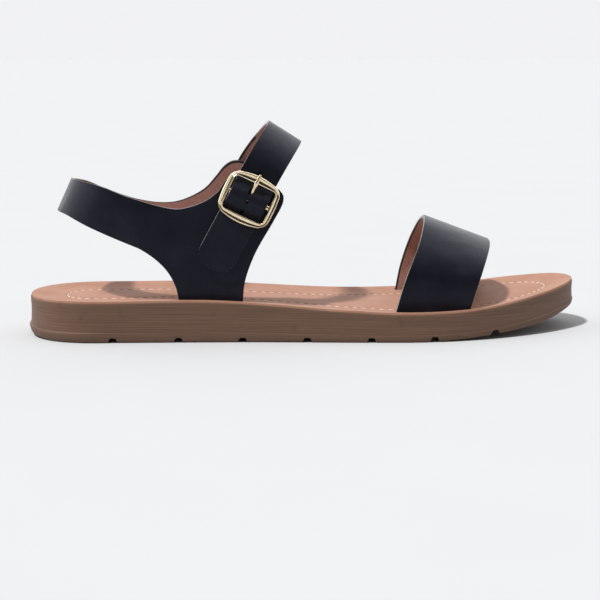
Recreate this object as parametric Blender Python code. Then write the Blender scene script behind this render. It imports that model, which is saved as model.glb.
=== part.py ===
"""Ankle strap sandal, right shoe, made of eight separate pieces.

Sizes are in millimetres and become metres in add_piece. A station is a distance from the back of the
heel toward the toe. The outer side of the foot is at -Y, the inner side at +Y, and z is up from the floor.
"""
import math

import bmesh
import bpy
from mathutils import Matrix, Vector

MM = 0.001

# Sizes of the whole shoe
LENGTH = 250.0
WALL = 1.8
GAP = 0.3
COVER = 1.4
CUP = 1.2
CUP_WIDTH = 12.0

# Half widths of the sole before its ends are rounded, and the heights of its top and bottom edges
SOLE = [
    dict(station=0, outer=32.0, inner=32.5, middle=0.0, top=18.4, bottom=0.9),
    dict(station=12, outer=31.9, inner=32.2, middle=0.0, top=18.4, bottom=0.0),
    dict(station=40, outer=31.5, inner=31.3, middle=0.0, top=18.4, bottom=0.0),
    dict(station=78, outer=32.4, inner=28.5, middle=0.0, top=18.7, bottom=0.0),
    dict(station=105, outer=33.6, inner=28.3, middle=0.0, top=17.2, bottom=0.0),
    dict(station=140, outer=36.6, inner=34.5, middle=0.0, top=14.4, bottom=0.0),
    dict(station=170, outer=38.5, inner=42.5, middle=1.0, top=13.2, bottom=0.0),
    dict(station=200, outer=37.5, inner=45.0, middle=4.0, top=14.3, bottom=1.3),
    dict(station=230, outer=34.0, inner=44.0, middle=6.5, top=18.6, bottom=4.9),
    dict(station=250, outer=31.0, inner=43.0, middle=8.0, top=22.4, bottom=10.4),
]
HEEL_ROUND, HEEL_POWER = 34.0, 2.15
TOE_ROUND_OUTER, TOE_POWER_OUTER = 84.0, 2.0
TOE_ROUND_INNER, TOE_POWER_INNER = 50.0, 2.3

# How far the sole's side stands out, and at what share of its height
SIDE = [
    dict(share=0.00, out=-1.2, flare=0.0),
    dict(share=0.07, out=-0.4, flare=0.4),
    dict(share=0.26, out=-0.2, flare=0.8),
    dict(share=0.32, out=-0.2, flare=0.1),
    dict(share=0.66, out=-0.4, flare=0.0),
    dict(share=1.00, out=-0.2, flare=0.0),
]
FLARE_HEEL, FLARE_TOE, TOE_SHARE = 45.0, 205.0, 0.4
OUTLINE_STEPS = 42
INSETS = (1.5, 4.0, 8.0, 12.0)
FILL_STEPS = 4

# Grooves across the tread, by station
GROOVES = (38.3, 67.0, 95.0, 123.3, 151.4, 179.2, 207.1)
GROOVE_WIDTH, GROOVE_FLOOR, GROOVE_DEPTH = 4.2, 2.4, 2.1

# The upper's half widths by height, and its lean at the back of the heel
UPPER_WIDTH = [
    dict(z=10, outer=26.4, inner=22.6),
    dict(z=18, outer=26.8, inner=23.0),
    dict(z=30, outer=28.4, inner=24.8),
    dict(z=42, outer=29.6, inner=26.4),
    dict(z=52, outer=29.6, inner=27.0),
    dict(z=64, outer=29.0, inner=26.4),
    dict(z=78, outer=28.0, inner=24.2),
]
HEEL_BACK, HEEL_BACK_Z, HEEL_LEAN = 13.8, 55.6, 0.46
HEEL_TURN = 50.0

# The quarter's lower edge from the back of the heel to the rear corner of its base
LOWER_EDGE = [
    dict(outer=0.0, outer_z=55.6, inner=0.0, inner_z=55.6),
    dict(outer=18.0, outer_z=54.6, inner=18.0, inner_z=54.0),
    dict(outer=34.0, outer_z=49.4, inner=34.0, inner_z=49.4),
    dict(outer=48.5, outer_z=42.5, inner=48.5, inner_z=42.0),
    dict(outer=56.5, outer_z=37.4, inner=56.5, inner_z=36.6),
    dict(outer=62.5, outer_z=31.2, inner=62.5, inner_z=30.6),
    dict(outer=66.2, outer_z=23.6, inner=66.2, inner_z=23.0),
    dict(outer=67.6, outer_z=14.9, inner=67.6, inner_z=14.9),
]
# The top edge from the back of the heel, round the rear corner of the arm's end to its front corner
UPPER_EDGE = [
    dict(outer=0.0, outer_z=69.8, inner=0.0, inner_z=69.8),
    dict(outer=20.0, outer_z=69.6, inner=20.0, inner_z=67.4),
    dict(outer=34.0, outer_z=67.8, inner=34.0, inner_z=62.8),
    dict(outer=48.0, outer_z=63.2, inner=48.0, inner_z=57.8),
    dict(outer=60.5, outer_z=59.5, inner=59.5, inner_z=56.2),
    dict(outer=68.5, outer_z=58.6, inner=68.5, inner_z=57.4),
    dict(outer=78.6, outer_z=61.6, inner=78.6, inner_z=62.4),
    dict(outer=84.8, outer_z=66.0, inner=84.6, inner_z=68.8),
    dict(outer=88.2, outer_z=70.8, inner=88.0, inner_z=73.0),
    dict(outer=92.0, outer_z=74.0, inner=91.8, inner_z=75.5),
    dict(outer=96.6, outer_z=73.4, inner=96.4, inner_z=75.5),
    dict(outer=106.8, outer_z=69.2, inner=106.0, inner_z=70.8),
    dict(outer=111.4, outer_z=66.6, inner=110.4, inner_z=68.2),
]
ARM_END_ROW, ARM_SHARE = 9, 0.76
# The front edge from the base up to the front corner of the arm's end
FRONT_EDGE = [
    dict(outer=95.2, outer_z=14.6, inner=95.2, inner_z=14.6),
    dict(outer=96.4, outer_z=26.6, inner=96.4, inner_z=26.6),
    dict(outer=100.8, outer_z=38.9, inner=100.4, inner_z=38.9),
    dict(outer=109.2, outer_z=53.6, inner=108.4, inner_z=53.6),
    dict(outer=112.8, outer_z=60.4, inner=111.6, inner_z=61.0),
    dict(outer=113.2, outer_z=64.0, inner=112.2, inner_z=65.2),
    dict(outer=111.4, outer_z=66.6, inner=110.4, inner_z=68.2),
]
UPPER_STEPS_ROUND, UPPER_STEPS_HIGH = 30, 12

# The vamp band, from its outer base over the toes to its inner base
VAMP = [
    dict(y=-31.2, rear=161.8, rear_z=9.2, front=195.0, front_z=10.6),
    dict(y=-31.8, rear=162.8, rear_z=13.8, front=195.8, front_z=14.8),
    dict(y=-33.2, rear=165.0, rear_z=22.4, front=197.6, front_z=21.6),
    dict(y=-31.4, rear=168.6, rear_z=32.2, front=200.4, front_z=28.8),
    dict(y=-24.0, rear=173.4, rear_z=41.4, front=203.8, front_z=34.8),
    dict(y=-10.0, rear=177.4, rear_z=49.3, front=207.6, front_z=38.9),
    dict(y=6.0, rear=179.4, rear_z=51.0, front=209.6, front_z=39.7),
    dict(y=22.0, rear=178.8, rear_z=46.4, front=210.6, front_z=36.6),
    dict(y=33.0, rear=176.0, rear_z=36.0, front=211.0, front_z=29.8),
    dict(y=36.6, rear=172.8, rear_z=24.0, front=210.8, front_z=22.4),
    dict(y=36.4, rear=170.8, rear_z=14.0, front=210.6, front_z=16.4),
    dict(y=36.2, rear=170.2, rear_z=9.4, front=210.4, front_z=12.2),
]
VAMP_STEPS, VAMP_ROWS = 36, 6

# The ankle strap's line, told by its distance down from the top of the instep
STRAP_WIDTH = 17.0
BUCKLE_STATION, BUCKLE_Z, BUCKLE_DOWN = 98.0, 62.6, 32.7
STRAP_TILT = math.radians(25.5)
STRAP_TILT_TOP = math.radians(32.5)
STRAP_BEND, STRAP_BEND_FROM = 4.4, 24.0
STRAP_DRIFT, STRAP_DRIFT_FROM = 0.05, 18.7
STRAP = [
    dict(down=50.0, side=1, lift=2.1),
    dict(down=36.0, side=1, lift=2.1),
    dict(down=26.0, side=1, lift=2.3),
    dict(down=20.5, side=1, lift=2.6),
    dict(down=15.4, side=1, lift=-1.4),
    dict(down=10.0, side=1, lift=-9.0),
    dict(down=4.3, side=1, lift=-17.8),
    dict(down=2.1, side=-1, lift=-24.0),
    dict(down=3.7, side=-1, lift=-15.0),
    dict(down=8.8, side=-1, lift=-5.2),
    dict(down=16.0, side=-1, lift=1.2),
    dict(down=22.0, side=-1, lift=2.6),
    dict(down=25.4, side=-1, lift=3.6),
    dict(down=27.6, side=-1, lift=5.2),
    dict(down=30.0, side=-1, lift=7.2),
    dict(down=32.7, side=-1, lift=8.0),
    dict(down=35.4, side=-1, lift=6.8),
    dict(down=38.0, side=-1, lift=4.9),
    dict(down=40.6, side=-1, lift=4.2),
    dict(down=44.0, side=-1, lift=4.0),
    dict(down=50.0, side=-1, lift=2.9),
    dict(down=58.0, side=-1, lift=2.2),
    dict(down=66.0, side=-1, lift=2.1),
]
STRAP_STEPS, STRAP_COLUMNS = 84, 6
STRAP_REACH, STRAP_BLUNT, STRAP_END, STRAP_END_POWER = 120.0, 0.5, 7.4, 2.3
STRAP_SLOT_TOP, STRAP_SLOT_BOTTOM, STRAP_SLOT_WIDTH = 26.2, 32.6, 2.4

# The buckle, in its own frame: down the strap, across it, and out from the arm's middle
WINDOW_WIDTH, WINDOW_HIGH, WINDOW_CORNER = 19.0, 14.6, 1.6
SIDE_WIDTH, END_WIDTH, CORNER_WIDTH, OUTER_CORNER = 2.6, 3.8, 2.0, 3.4
FRAME_UNDER, FRAME_OVER, FRAME_SINK, FRAME_ARCH = 5.6, 7.5, 2.3, 0.3
CORNER_STEPS, BAR_STEPS = 4, 5
# The frame's section, from its window to its rim and back: a share of the way across, and a rise above
# its under side or its crest
FRAME_SECTION = [
    dict(share=0.00, of="under", rise=0.4),
    dict(share=0.00, of="crest", rise=-0.9),
    dict(share=0.30, of="crest", rise=-0.1),
    dict(share=0.62, of="crest", rise=0.0),
    dict(share=0.92, of="crest", rise=-0.6),
    dict(share=1.00, of="crest", rise=-1.4),
    dict(share=0.92, of="under", rise=0.1),
    dict(share=0.20, of="under", rise=0.0),
]
BAR_RADIUS, BAR_OUT, BAR_BITE = 1.1, 3.8, 1.4
PRONG_RADIUS, PRONG_SIDES, PRONG_TURN, PRONG_TURN_STEPS = 0.7, 8, 250.0, 14
PRONG = [
    dict(up=2.0, out=6.2),
    dict(up=4.5, out=7.2),
    dict(up=7.0, out=8.3),
    dict(up=9.0, out=8.7),
    dict(up=11.4, out=8.4),
]
CHAPE_WIDTH, CHAPE_THICK, CHAPE_LONG, CHAPE_SLOT = 14.0, 1.2, 13.0, 2.4
CHAPE_WRAP = range(-60, 136, 15)

for old in list(bpy.data.objects):
    bpy.data.objects.remove(old, do_unlink=True)


def along(rows, key, value):
    """A smooth curve through one column of a table, read by another column."""
    xs = [float(row[key]) for row in rows]
    ys = [float(row[value]) for row in rows]
    slopes = []
    for i in range(len(xs)):
        low, high = max(i - 1, 0), min(i + 1, len(xs) - 1)
        slopes.append((ys[high] - ys[low]) / (xs[high] - xs[low]))

    def read(x):
        x = min(max(x, xs[0]), xs[-1])
        i = max(j for j in range(len(xs) - 1) if xs[j] <= x)
        step = xs[i + 1] - xs[i]
        t = (x - xs[i]) / step
        return (ys[i] * (1 + 2 * t) * (1 - t) ** 2 + ys[i + 1] * t * t * (3 - 2 * t)
                + step * (slopes[i] * t * (1 - t) ** 2 - slopes[i + 1] * t * t * (1 - t)))
    return read


def shares(rows, keys):
    """How far along the rows' line each row lies, from 0 to 1."""
    points = [Vector([float(row[key]) for key in keys]) for row in rows]
    lengths = [0.0]
    for a, b in zip(points, points[1:]):
        lengths.append(lengths[-1] + (b - a).length)
    return [length / lengths[-1] for length in lengths]


def path(rows, keys):
    """A smooth curve through the rows themselves, read from 0 at the first row to 1 at the last."""
    table = [dict(row, t=t) for row, t in zip(rows, shares(rows, keys))]
    curves = [along(table, "t", key) for key in keys]
    return lambda t: Vector([curve(t) for curve in curves])


def material(name, colour, roughness, metallic=0.0):
    made = bpy.data.materials.new(name)
    made.use_nodes = True
    shader = made.node_tree.nodes["Principled BSDF"]
    shader.inputs["Base Color"].default_value = (*colour, 1.0)
    shader.inputs["Roughness"].default_value = roughness
    shader.inputs["Metallic"].default_value = metallic
    made.diffuse_color = (*colour, 1.0)
    return made


def add_piece(name, points, faces, finish, place=None):
    """One object from points in millimetres, with its faces turned outward."""
    bm = bmesh.new()
    corners = [bm.verts.new((place @ Vector(p)) * MM if place else Vector(p) * MM) for p in points]
    for face in faces:
        bm.faces.new([corners[i] for i in face])
    bmesh.ops.recalc_face_normals(bm, faces=bm.faces)
    mesh = bpy.data.meshes.new(name)
    bm.to_mesh(mesh)
    bm.free()
    mesh.shade_smooth()
    mesh.set_sharp_from_angle(angle=math.radians(40))
    if finish:
        mesh.materials.append(finish)
    made = bpy.data.objects.new(name, mesh)
    bpy.context.collection.objects.link(made)
    return made


def grid_faces(rows, columns):
    return [(r * columns + c, r * columns + c + 1, (r + 1) * columns + c + 1, (r + 1) * columns + c)
            for r in range(rows - 1) for c in range(columns - 1)]


def wall(name, grid, finish, thick=WALL):
    """A sheet of leather: a grid of points on its middle surface, given its thickness."""
    points = [p for row in grid for p in row]
    made = add_piece(name, points, grid_faces(len(grid), len(grid[0])), finish)
    solid = made.modifiers.new("thickness", "SOLIDIFY")
    solid.thickness = thick * MM
    solid.offset = 0.0
    solid.use_even_offset = True
    return made


def cut(target, cutter, how="DIFFERENCE"):
    cutter.hide_render = True
    cutter.display_type = "WIRE"
    boolean = target.modifiers.new(cutter.name, "BOOLEAN")
    boolean.operation = how
    boolean.object = cutter
    boolean.solver = "EXACT"
    return boolean


def smooth(t):
    t = min(max(t, 0.0), 1.0)
    return t * t * (3 - 2 * t)


# The sole's outline and surface

sole_table = {key: along(SOLE, "station", key) for key in ("outer", "inner", "middle", "top", "bottom")}


def rounded_end(distance, length, power):
    if distance >= length:
        return 1.0
    return max(0.0, 1 - (1 - max(distance, 0.0) / length) ** power) ** (1 / power)


def sole_side(station, side):
    """The outline's y on one side of the sole: -1 is the outer side, 1 the inner side."""
    middle = sole_table["middle"](station)
    heel = rounded_end(station, HEEL_ROUND, HEEL_POWER)
    if side < 0:
        toe = rounded_end(LENGTH - station, TOE_ROUND_OUTER, TOE_POWER_OUTER)
        return middle - (sole_table["outer"](station) + middle) * heel * toe
    toe = rounded_end(LENGTH - station, TOE_ROUND_INNER, TOE_POWER_INNER)
    return middle + (sole_table["inner"](station) - middle) * heel * toe


def sole_outline():
    """The outline from the heel along the outer side to the toe and back along the inner side."""
    stations = [LENGTH / 2 * (1 - math.cos(math.pi * i / OUTLINE_STEPS)) for i in range(OUTLINE_STEPS + 1)]
    outer = [Vector((s, sole_side(s, -1), 0)) for s in stations]
    inner = [Vector((s, sole_side(s, 1), 0)) for s in stations[1:-1]]
    return outer + inner[::-1]


OUTLINE = sole_outline()
CENTRE_Y = (min(p.y for p in OUTLINE) + max(p.y for p in OUTLINE)) / 2


def moved_out(distance_at):
    """The outline moved out square to itself by a distance that follows the station."""
    count = len(OUTLINE)
    moved = []
    for i, p in enumerate(OUTLINE):
        run = OUTLINE[(i + 1) % count] - OUTLINE[i - 1]
        moved.append(p + Vector((run.y, -run.x, 0)).normalized() * distance_at(p.x))
    return moved


def flare_at(station):
    heel = 1 - smooth(station / FLARE_HEEL)
    toe = smooth((station - FLARE_TOE) / (LENGTH - FLARE_TOE))
    return heel + TOE_SHARE * toe


def tread(station):
    """The height of the tread: flat on the floor from the heel to the ball, then the toe's spring."""
    return max(0.0, sole_table["bottom"](station))


def footbed(station, inset):
    """The height of the footbed at a station, this far in from its edge."""
    return sole_table["top"](station) - CUP * smooth(inset / CUP_WIDTH)


def placed(points):
    return [Vector((p.x - LENGTH / 2, p.y - CENTRE_Y, p.z)) for p in points]


def footbed_rings(lower, edge):
    """Rings of points over the footbed, from this far in from the edge to the strip in its middle."""
    rings = []
    for inset in (edge,) + INSETS:
        ring = moved_out(lambda s: -inset)
        rings.append([Vector((p.x, p.y, footbed(p.x, inset) - lower)) for p in ring])
    return rings


def strip_faces(first, count, steps, points):
    """Fills a ring from side to side: rungs join its outer and inner halves, point by point."""
    half = count // 2
    rungs = [[first]]
    for i in range(1, half):
        a, b = first + i, first + count - i
        rung = [a]
        for k in range(1, steps):
            points.append(points[a].lerp(points[b], k / steps))
            rung.append(len(points) - 1)
        rungs.append(rung + [b])
    faces = [(first, rungs[1][k + 1], rungs[1][k]) for k in range(steps)]
    for low, high in zip(rungs[1:], rungs[2:]):
        faces += [(low[k], low[k + 1], high[k + 1], high[k]) for k in range(steps)]
    faces += [(first + half, rungs[-1][k], rungs[-1][k + 1]) for k in range(steps)]
    return faces


def stacked(name, rings, finish):
    """A closed solid from a stack of rings, its first and last ring filled from side to side."""
    count = len(rings[0])
    points = [p for ring in rings for p in placed(ring)]
    faces = []
    for r in range(len(rings) - 1):
        for i in range(count):
            j = (i + 1) % count
            faces.append((r * count + i, r * count + j, (r + 1) * count + j, (r + 1) * count + i))
    for first in (0, (len(rings) - 1) * count):
        faces += strip_faces(first, count, FILL_STEPS, points)
    return add_piece(name, points, faces, finish)


def make_sole(finish):
    rings = []
    for row in SIDE:
        ring = moved_out(lambda s: row["out"] + row["flare"] * flare_at(s))
        shaped = []
        for p in ring:
            station = min(max(p.x, 0.0), LENGTH)
            low = tread(station)
            high = footbed(station, 0) - COVER - GAP
            shaped.append(Vector((p.x, p.y, low + (high - low) * row["share"])))
        rings.append(shaped)
    rings += footbed_rings(COVER + GAP, 0.8)
    sole = stacked("sole", rings, finish)
    for k, station in enumerate(GROOVES):
        low = tread(station)
        tilt = math.atan2(tread(station + 2) - low, 2)
        profile = [(-GROOVE_WIDTH / 2 - 0.6, -1.2), (GROOVE_WIDTH / 2 + 0.6, -1.2),
                   (GROOVE_FLOOR / 2, GROOVE_DEPTH), (-GROOVE_FLOOR / 2, GROOVE_DEPTH)]
        points = []
        for y in (-60.0, 60.0):
            for along_tread, up in profile:
                points.append((station - LENGTH / 2 + along_tread * math.cos(tilt) - up * math.sin(tilt),
                               y, low + along_tread * math.sin(tilt) + up * math.cos(tilt)))
        faces = [(0, 1, 2, 3), (4, 5, 6, 7)] + [(i, (i + 1) % 4, 4 + (i + 1) % 4, 4 + i) for i in range(4)]
        cut(sole, add_piece("groove_%d" % k, points, faces, None))
    return sole


def make_insole(finish):
    upper_side = footbed_rings(0.0, 0.9)
    edge = [[Vector((p.x, p.y, footbed(p.x, 0) - lower)) for p in moved_out(lambda s: -inset)]
            for lower, inset in ((COVER - 0.2, 0.4), (0.5, 0.3))]
    under_side = footbed_rings(COVER, 0.9)[::-1]
    return stacked("insole", under_side + edge + upper_side, finish)


# The upper's wall

upper_width = {side: along(UPPER_WIDTH, "z", side) for side in ("outer", "inner")}


def on_upper(q, z, side, out=0.0):
    """A point of the wall's middle: q follows it from the back of the heel, and then is the station."""
    half = upper_width["outer" if side < 0 else "inner"](z) + out
    back = HEEL_BACK + (z - HEEL_BACK_Z) * HEEL_LEAN - out
    if q >= HEEL_TURN:
        return Vector((q, side * half, z))
    turn = math.pi / 2 * (1 - q / HEEL_TURN)
    return Vector((HEEL_TURN - (HEEL_TURN - back) * math.sin(turn), side * half * math.cos(turn), z))


def quarter_patch(side):
    """One half of the upper as a grid: from the back of the heel to the front edge, and from low to high."""
    name = "outer" if side < 0 else "inner"
    keys = (name, name + "_z")
    lower, upper, front = (path(rows, keys) for rows in (LOWER_EDGE, UPPER_EDGE, FRONT_EDGE))
    arm_end = shares(UPPER_EDGE, keys)[ARM_END_ROW]

    def low_edge(t):
        if t <= ARM_SHARE:
            return lower(t / ARM_SHARE)
        return lower(1).lerp(front(0), (t - ARM_SHARE) / (1 - ARM_SHARE))

    def high_edge(t):
        if t <= ARM_SHARE:
            return upper(arm_end * t / ARM_SHARE)
        return upper(arm_end + (1 - arm_end) * (t - ARM_SHARE) / (1 - ARM_SHARE))

    grid = []
    for i in range(UPPER_STEPS_ROUND + 1):
        t = i / UPPER_STEPS_ROUND
        low, high = low_edge(t), high_edge(t)
        column = []
        for j in range(UPPER_STEPS_HIGH + 1):
            h = j / UPPER_STEPS_HIGH
            straight_front = front(0).lerp(front(1), h)
            column.append(low.lerp(high, h) + (front(h) - straight_front) * t)
        grid.append(column)
    return grid


def make_upper(finish):
    outer, inner = quarter_patch(-1), quarter_patch(1)
    rows = []
    for column in inner[::-1]:
        rows.append([on_upper(p[0], p[1], 1) for p in column])
    for column in outer[1:]:
        rows.append([on_upper(p[0], p[1], -1) for p in column])
    rows = [placed(row) for row in rows]
    return wall("upper", rows, finish)


# The vamp band

def vamp_grid():
    rear = path(VAMP, ("rear", "y", "rear_z"))
    front = path(VAMP, ("front", "y", "front_z"))
    grid = []
    for i in range(VAMP_STEPS + 1):
        a, b = rear(i / VAMP_STEPS), front(i / VAMP_STEPS)
        grid.append([a.lerp(b, j / VAMP_ROWS) for j in range(VAMP_ROWS + 1)])
    return grid


def make_vamp(finish):
    return wall("vamp_band", [placed(row) for row in vamp_grid()], finish)


# The ankle strap

def strap_line(down):
    """Station and height of the strap's middle line, this far down from the top of the instep."""
    above = BUCKLE_DOWN - down
    bend = STRAP_BEND * max(0.0, 1 - down / STRAP_BEND_FROM) ** 2
    bend -= STRAP_DRIFT * max(0.0, down - STRAP_DRIFT_FROM)
    return BUCKLE_STATION + above * math.sin(STRAP_TILT) + bend, BUCKLE_Z + above * math.cos(STRAP_TILT)


def strap_point(row):
    station, z = strap_line(row["down"])
    half = upper_width["outer" if row["side"] < 0 else "inner"](z)
    y = row["side"] * (half + row["lift"])
    return dict(station=station, y=y, z=z, down=row["down"])


def strap_grid():
    centre = path([strap_point(row) for row in STRAP], ("station", "y", "z", "down"))
    grid = []
    for i in range(STRAP_STEPS + 1):
        station, y, z, down = centre(i / STRAP_STEPS)
        tilt = STRAP_TILT + (STRAP_TILT_TOP - STRAP_TILT) * (1 - smooth(down / STRAP_BEND_FROM))
        across = Vector((math.cos(tilt), 0, -math.sin(tilt)))
        left = min(i, STRAP_STEPS - i) / STRAP_STEPS * STRAP_REACH
        half = STRAP_WIDTH / 2 * rounded_end(left + STRAP_BLUNT, STRAP_END, STRAP_END_POWER)
        grid.append([Vector((station, y, z)) + across * half * (2 * j / STRAP_COLUMNS - 1)
                     for j in range(STRAP_COLUMNS + 1)])
    return grid


def make_strap(finish):
    return wall("ankle_strap", [placed(row) for row in strap_grid()], finish)


def make_slots(insole, sole):
    """Cuts the slots that the feet of the straps go down through, with a gap all round."""
    def slot(name, grid):
        cutter = wall(name, [placed(row) for row in grid], None, WALL + 2 * GAP)
        cut(insole, cutter)
        cut(sole, cutter)

    for side, name in ((-1, "outer"), (1, "inner")):
        rear, front = LOWER_EDGE[-1][name] - 0.6, FRONT_EDGE[0][name] + 0.6
        low, high = LOWER_EDGE[-1][name + "_z"] - 2 * GAP, 20.5
        slot("slot_" + name, [[on_upper(rear + (front - rear) * i / 8, z, side) for z in (low, high)]
                              for i in range(9)])
    for rows, name in ((VAMP[:2], "vamp_outer"), (VAMP[:-3:-1], "vamp_inner")):
        foot = [(Vector((r["rear"], r["y"], r["rear_z"])), Vector((r["front"], r["y"], r["front_z"])))
                for r in rows]
        down = (foot[0][0] - foot[1][0]).normalized() * 2 * GAP
        run = (foot[0][1] - foot[0][0]).normalized() * (GAP + 0.2)
        slot("slot_" + name, [[foot[0][0] + down - run, foot[0][1] + down + run],
                              [foot[1][0] - run - 2 * down, foot[1][1] + run - 2 * down]])


# The buckle, on the arm's outer face

def buckle_place():
    """The frame at the buckle's middle: X across the strap, Y up along it, Z out from the arm."""
    step = 1.0
    rise = (upper_width["outer"](BUCKLE_Z + step) - upper_width["outer"](BUCKLE_Z - step)) / (2 * step)
    out = Vector((0, -1, -rise)).normalized()
    across = Vector((math.cos(STRAP_TILT), 0, -math.sin(STRAP_TILT)))
    across = (across - out * across.dot(out)).normalized()
    up = out.cross(across)
    centre = placed([Vector((BUCKLE_STATION, -upper_width["outer"](BUCKLE_Z), BUCKLE_Z))])[0]
    return Matrix.Translation(centre) @ Matrix((across, up, out)).transposed().to_4x4()


def rounded_box(half_across, half_up, corner):
    """A rectangle with round corners, with the same number of points on each corner and side."""
    arcs = []
    for k, (sx, sy) in enumerate(((1, 1), (-1, 1), (-1, -1), (1, -1))):
        centre = Vector((sx * (half_across - corner), sy * (half_up - corner), 0))
        turns = [math.pi / 2 * (k + i / CORNER_STEPS) for i in range(CORNER_STEPS + 1)]
        arcs.append([centre + Vector((math.cos(turn), math.sin(turn), 0)) * corner for turn in turns])
    points = []
    for arc, following in zip(arcs, arcs[1:] + arcs[:1]):
        points += arc + [arc[-1].lerp(following[0], i / BAR_STEPS) for i in range(1, BAR_STEPS)]
    return points


def bow(place, half):
    """How far a bar of the frame swells: 1 in its middle, 0 at its corners."""
    return max(0.0, 1 - (place / half) ** 2)


def frame_ring(window, rim):
    """One section of the frame, between a point of its window and the matching point of its rim."""
    on_side = bow(window.y, WINDOW_HIGH / 2) if abs(window.x) > WINDOW_WIDTH / 2 - 0.1 else 0.0
    on_end = bow(window.x, WINDOW_WIDTH / 2) if abs(window.y) > WINDOW_HIGH / 2 - 0.1 else 0.0
    rim = rim + Vector((math.copysign(SIDE_WIDTH - CORNER_WIDTH, rim.x) * on_side,
                        math.copysign(END_WIDTH - CORNER_WIDTH, rim.y) * on_end, 0))
    heights = dict(under=FRAME_UNDER - FRAME_SINK * on_side, crest=FRAME_OVER + FRAME_ARCH * on_side)
    return [window.lerp(rim, row["share"]) + Vector((0, 0, heights[row["of"]] + row["rise"]))
            for row in FRAME_SECTION]


def make_buckle(finish, place):
    window = rounded_box(WINDOW_WIDTH / 2, WINDOW_HIGH / 2, WINDOW_CORNER)
    rim = rounded_box(WINDOW_WIDTH / 2 + CORNER_WIDTH, WINDOW_HIGH / 2 + CORNER_WIDTH, OUTER_CORNER)
    rings = [frame_ring(a, b) for a, b in zip(window, rim)]
    count, sides = len(rings), len(rings[0])
    points = [p for ring in rings for p in ring]
    faces = [(r * sides + i, r * sides + (i + 1) % sides,
              (r + 1) % count * sides + (i + 1) % sides, (r + 1) % count * sides + i)
             for r in range(count) for i in range(sides)]
    frame = add_piece("buckle_frame", points, faces, finish, place)
    reach = WINDOW_WIDTH / 2 + BAR_BITE
    bar = tube([Vector((-reach, 0, BAR_OUT)), Vector((reach, 0, BAR_OUT))], BAR_RADIUS, 12)
    cut(frame, add_piece("bar", *bar, None, place), "UNION")


def tube(line, radius, sides):
    """Points and faces of a round rod along a line that lies square to X or along it."""
    points = []
    for i, p in enumerate(line):
        run = (line[min(i + 1, len(line) - 1)] - line[max(i - 1, 0)]).normalized()
        side = Vector((0, 1, 0)) if abs(run.x) > 0.5 else Vector((1, 0, 0))
        other = run.cross(side)
        for k in range(sides):
            turn = 2 * math.pi * k / sides
            points.append(p + (side * math.cos(turn) + other * math.sin(turn)) * radius)
    faces = []
    for r in range(len(line) - 1):
        for i in range(sides):
            j = (i + 1) % sides
            faces.append((r * sides + i, r * sides + j, (r + 1) * sides + j, (r + 1) * sides + i))
    last = (len(line) - 1) * sides
    return points, faces + [tuple(range(sides)), tuple(range(last, last + sides))]


def make_prong(finish, place):
    bend = BAR_RADIUS + GAP + PRONG_RADIUS
    turns = [math.radians(90 + PRONG_TURN * (1 - i / PRONG_TURN_STEPS)) for i in range(PRONG_TURN_STEPS + 1)]
    line = [Vector((0, bend * math.cos(a), BAR_OUT + bend * math.sin(a))) for a in turns]
    line += [Vector((0, row["up"], row["out"])) for row in PRONG]
    add_piece("buckle_prong", *tube(line, PRONG_RADIUS, PRONG_SIDES), finish, place)


def make_chape(finish, place):
    """The loop of leather round the bar, on a leaf that lies between the arm and the strap."""
    low = WALL / 2 + GAP
    high = low + CHAPE_THICK
    bend = BAR_RADIUS + GAP + CHAPE_THICK
    profile = [Vector((0, -CHAPE_LONG, low)), Vector((0, 0, low))]
    profile += [Vector((0, bend * math.cos(a), BAR_OUT + bend * math.sin(a)))
                for a in map(math.radians, CHAPE_WRAP)]
    profile += [Vector((0, -CHAPE_LONG / 2, high)), Vector((0, -CHAPE_LONG, high))]
    count = len(profile)
    points = [p + Vector((x * CHAPE_WIDTH / 2, 0, 0)) for x in (-1, 1) for p in profile]
    faces = [tuple(range(count)), tuple(range(count, 2 * count))]
    faces += [(i, (i + 1) % count, count + (i + 1) % count, count + i) for i in range(count)]
    chape = add_piece("buckle_chape", points, faces, finish, place)
    reach = CHAPE_WIDTH
    hole = tube([Vector((-reach, 0, BAR_OUT)), Vector((reach, 0, BAR_OUT))], BAR_RADIUS + GAP, 16)
    cut(chape, add_piece("bar_hole", *hole, None, place))
    cut(chape, block("prong_slot", (0, 0, BAR_OUT + GAP), (CHAPE_SLOT, 2 * bend + 1, 2 * bend + 1), place))


def block(name, centre, size, place):
    points = [Vector(centre) + Vector((x * size[0], y * size[1], z * size[2])) / 2
              for x in (-1, 1) for y in (-1, 1) for z in (-1, 1)]
    faces = [(0, 1, 3, 2), (4, 5, 7, 6), (0, 1, 5, 4), (2, 3, 7, 6), (0, 2, 6, 4), (1, 3, 7, 5)]
    return add_piece(name, points, faces, None, place)


leather = material("black leather", (0.018, 0.018, 0.022), 0.45)
tan = material("tan leather", (0.60, 0.38, 0.27), 0.6)
rubber = material("brown rubber", (0.16, 0.11, 0.08), 0.7)
metal = material("pale brass", (0.80, 0.72, 0.58), 0.25, 1.0)

sole = make_sole(rubber)
insole = make_insole(tan)
make_slots(insole, sole)
make_upper(leather)
make_vamp(leather)
strap = make_strap(leather)
on_arm = buckle_place()
cut(strap, block("strap_slot", (0, BUCKLE_DOWN - (STRAP_SLOT_TOP + STRAP_SLOT_BOTTOM) / 2, BAR_OUT + 2),
                 (STRAP_SLOT_WIDTH, STRAP_SLOT_BOTTOM - STRAP_SLOT_TOP, 12), on_arm))
make_buckle(metal, on_arm)
make_prong(metal, on_arm)
make_chape(leather, on_arm)
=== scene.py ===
# %% [markdown]
# # An ankle strap sandal
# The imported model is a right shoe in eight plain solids, each at its real size and place.
# A lesson could paint those solids as they are, but they are faceted, and a camera close by would see it.
# So each solid gets a finer piece here, drawn through the same short tables, with its real finish.

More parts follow.
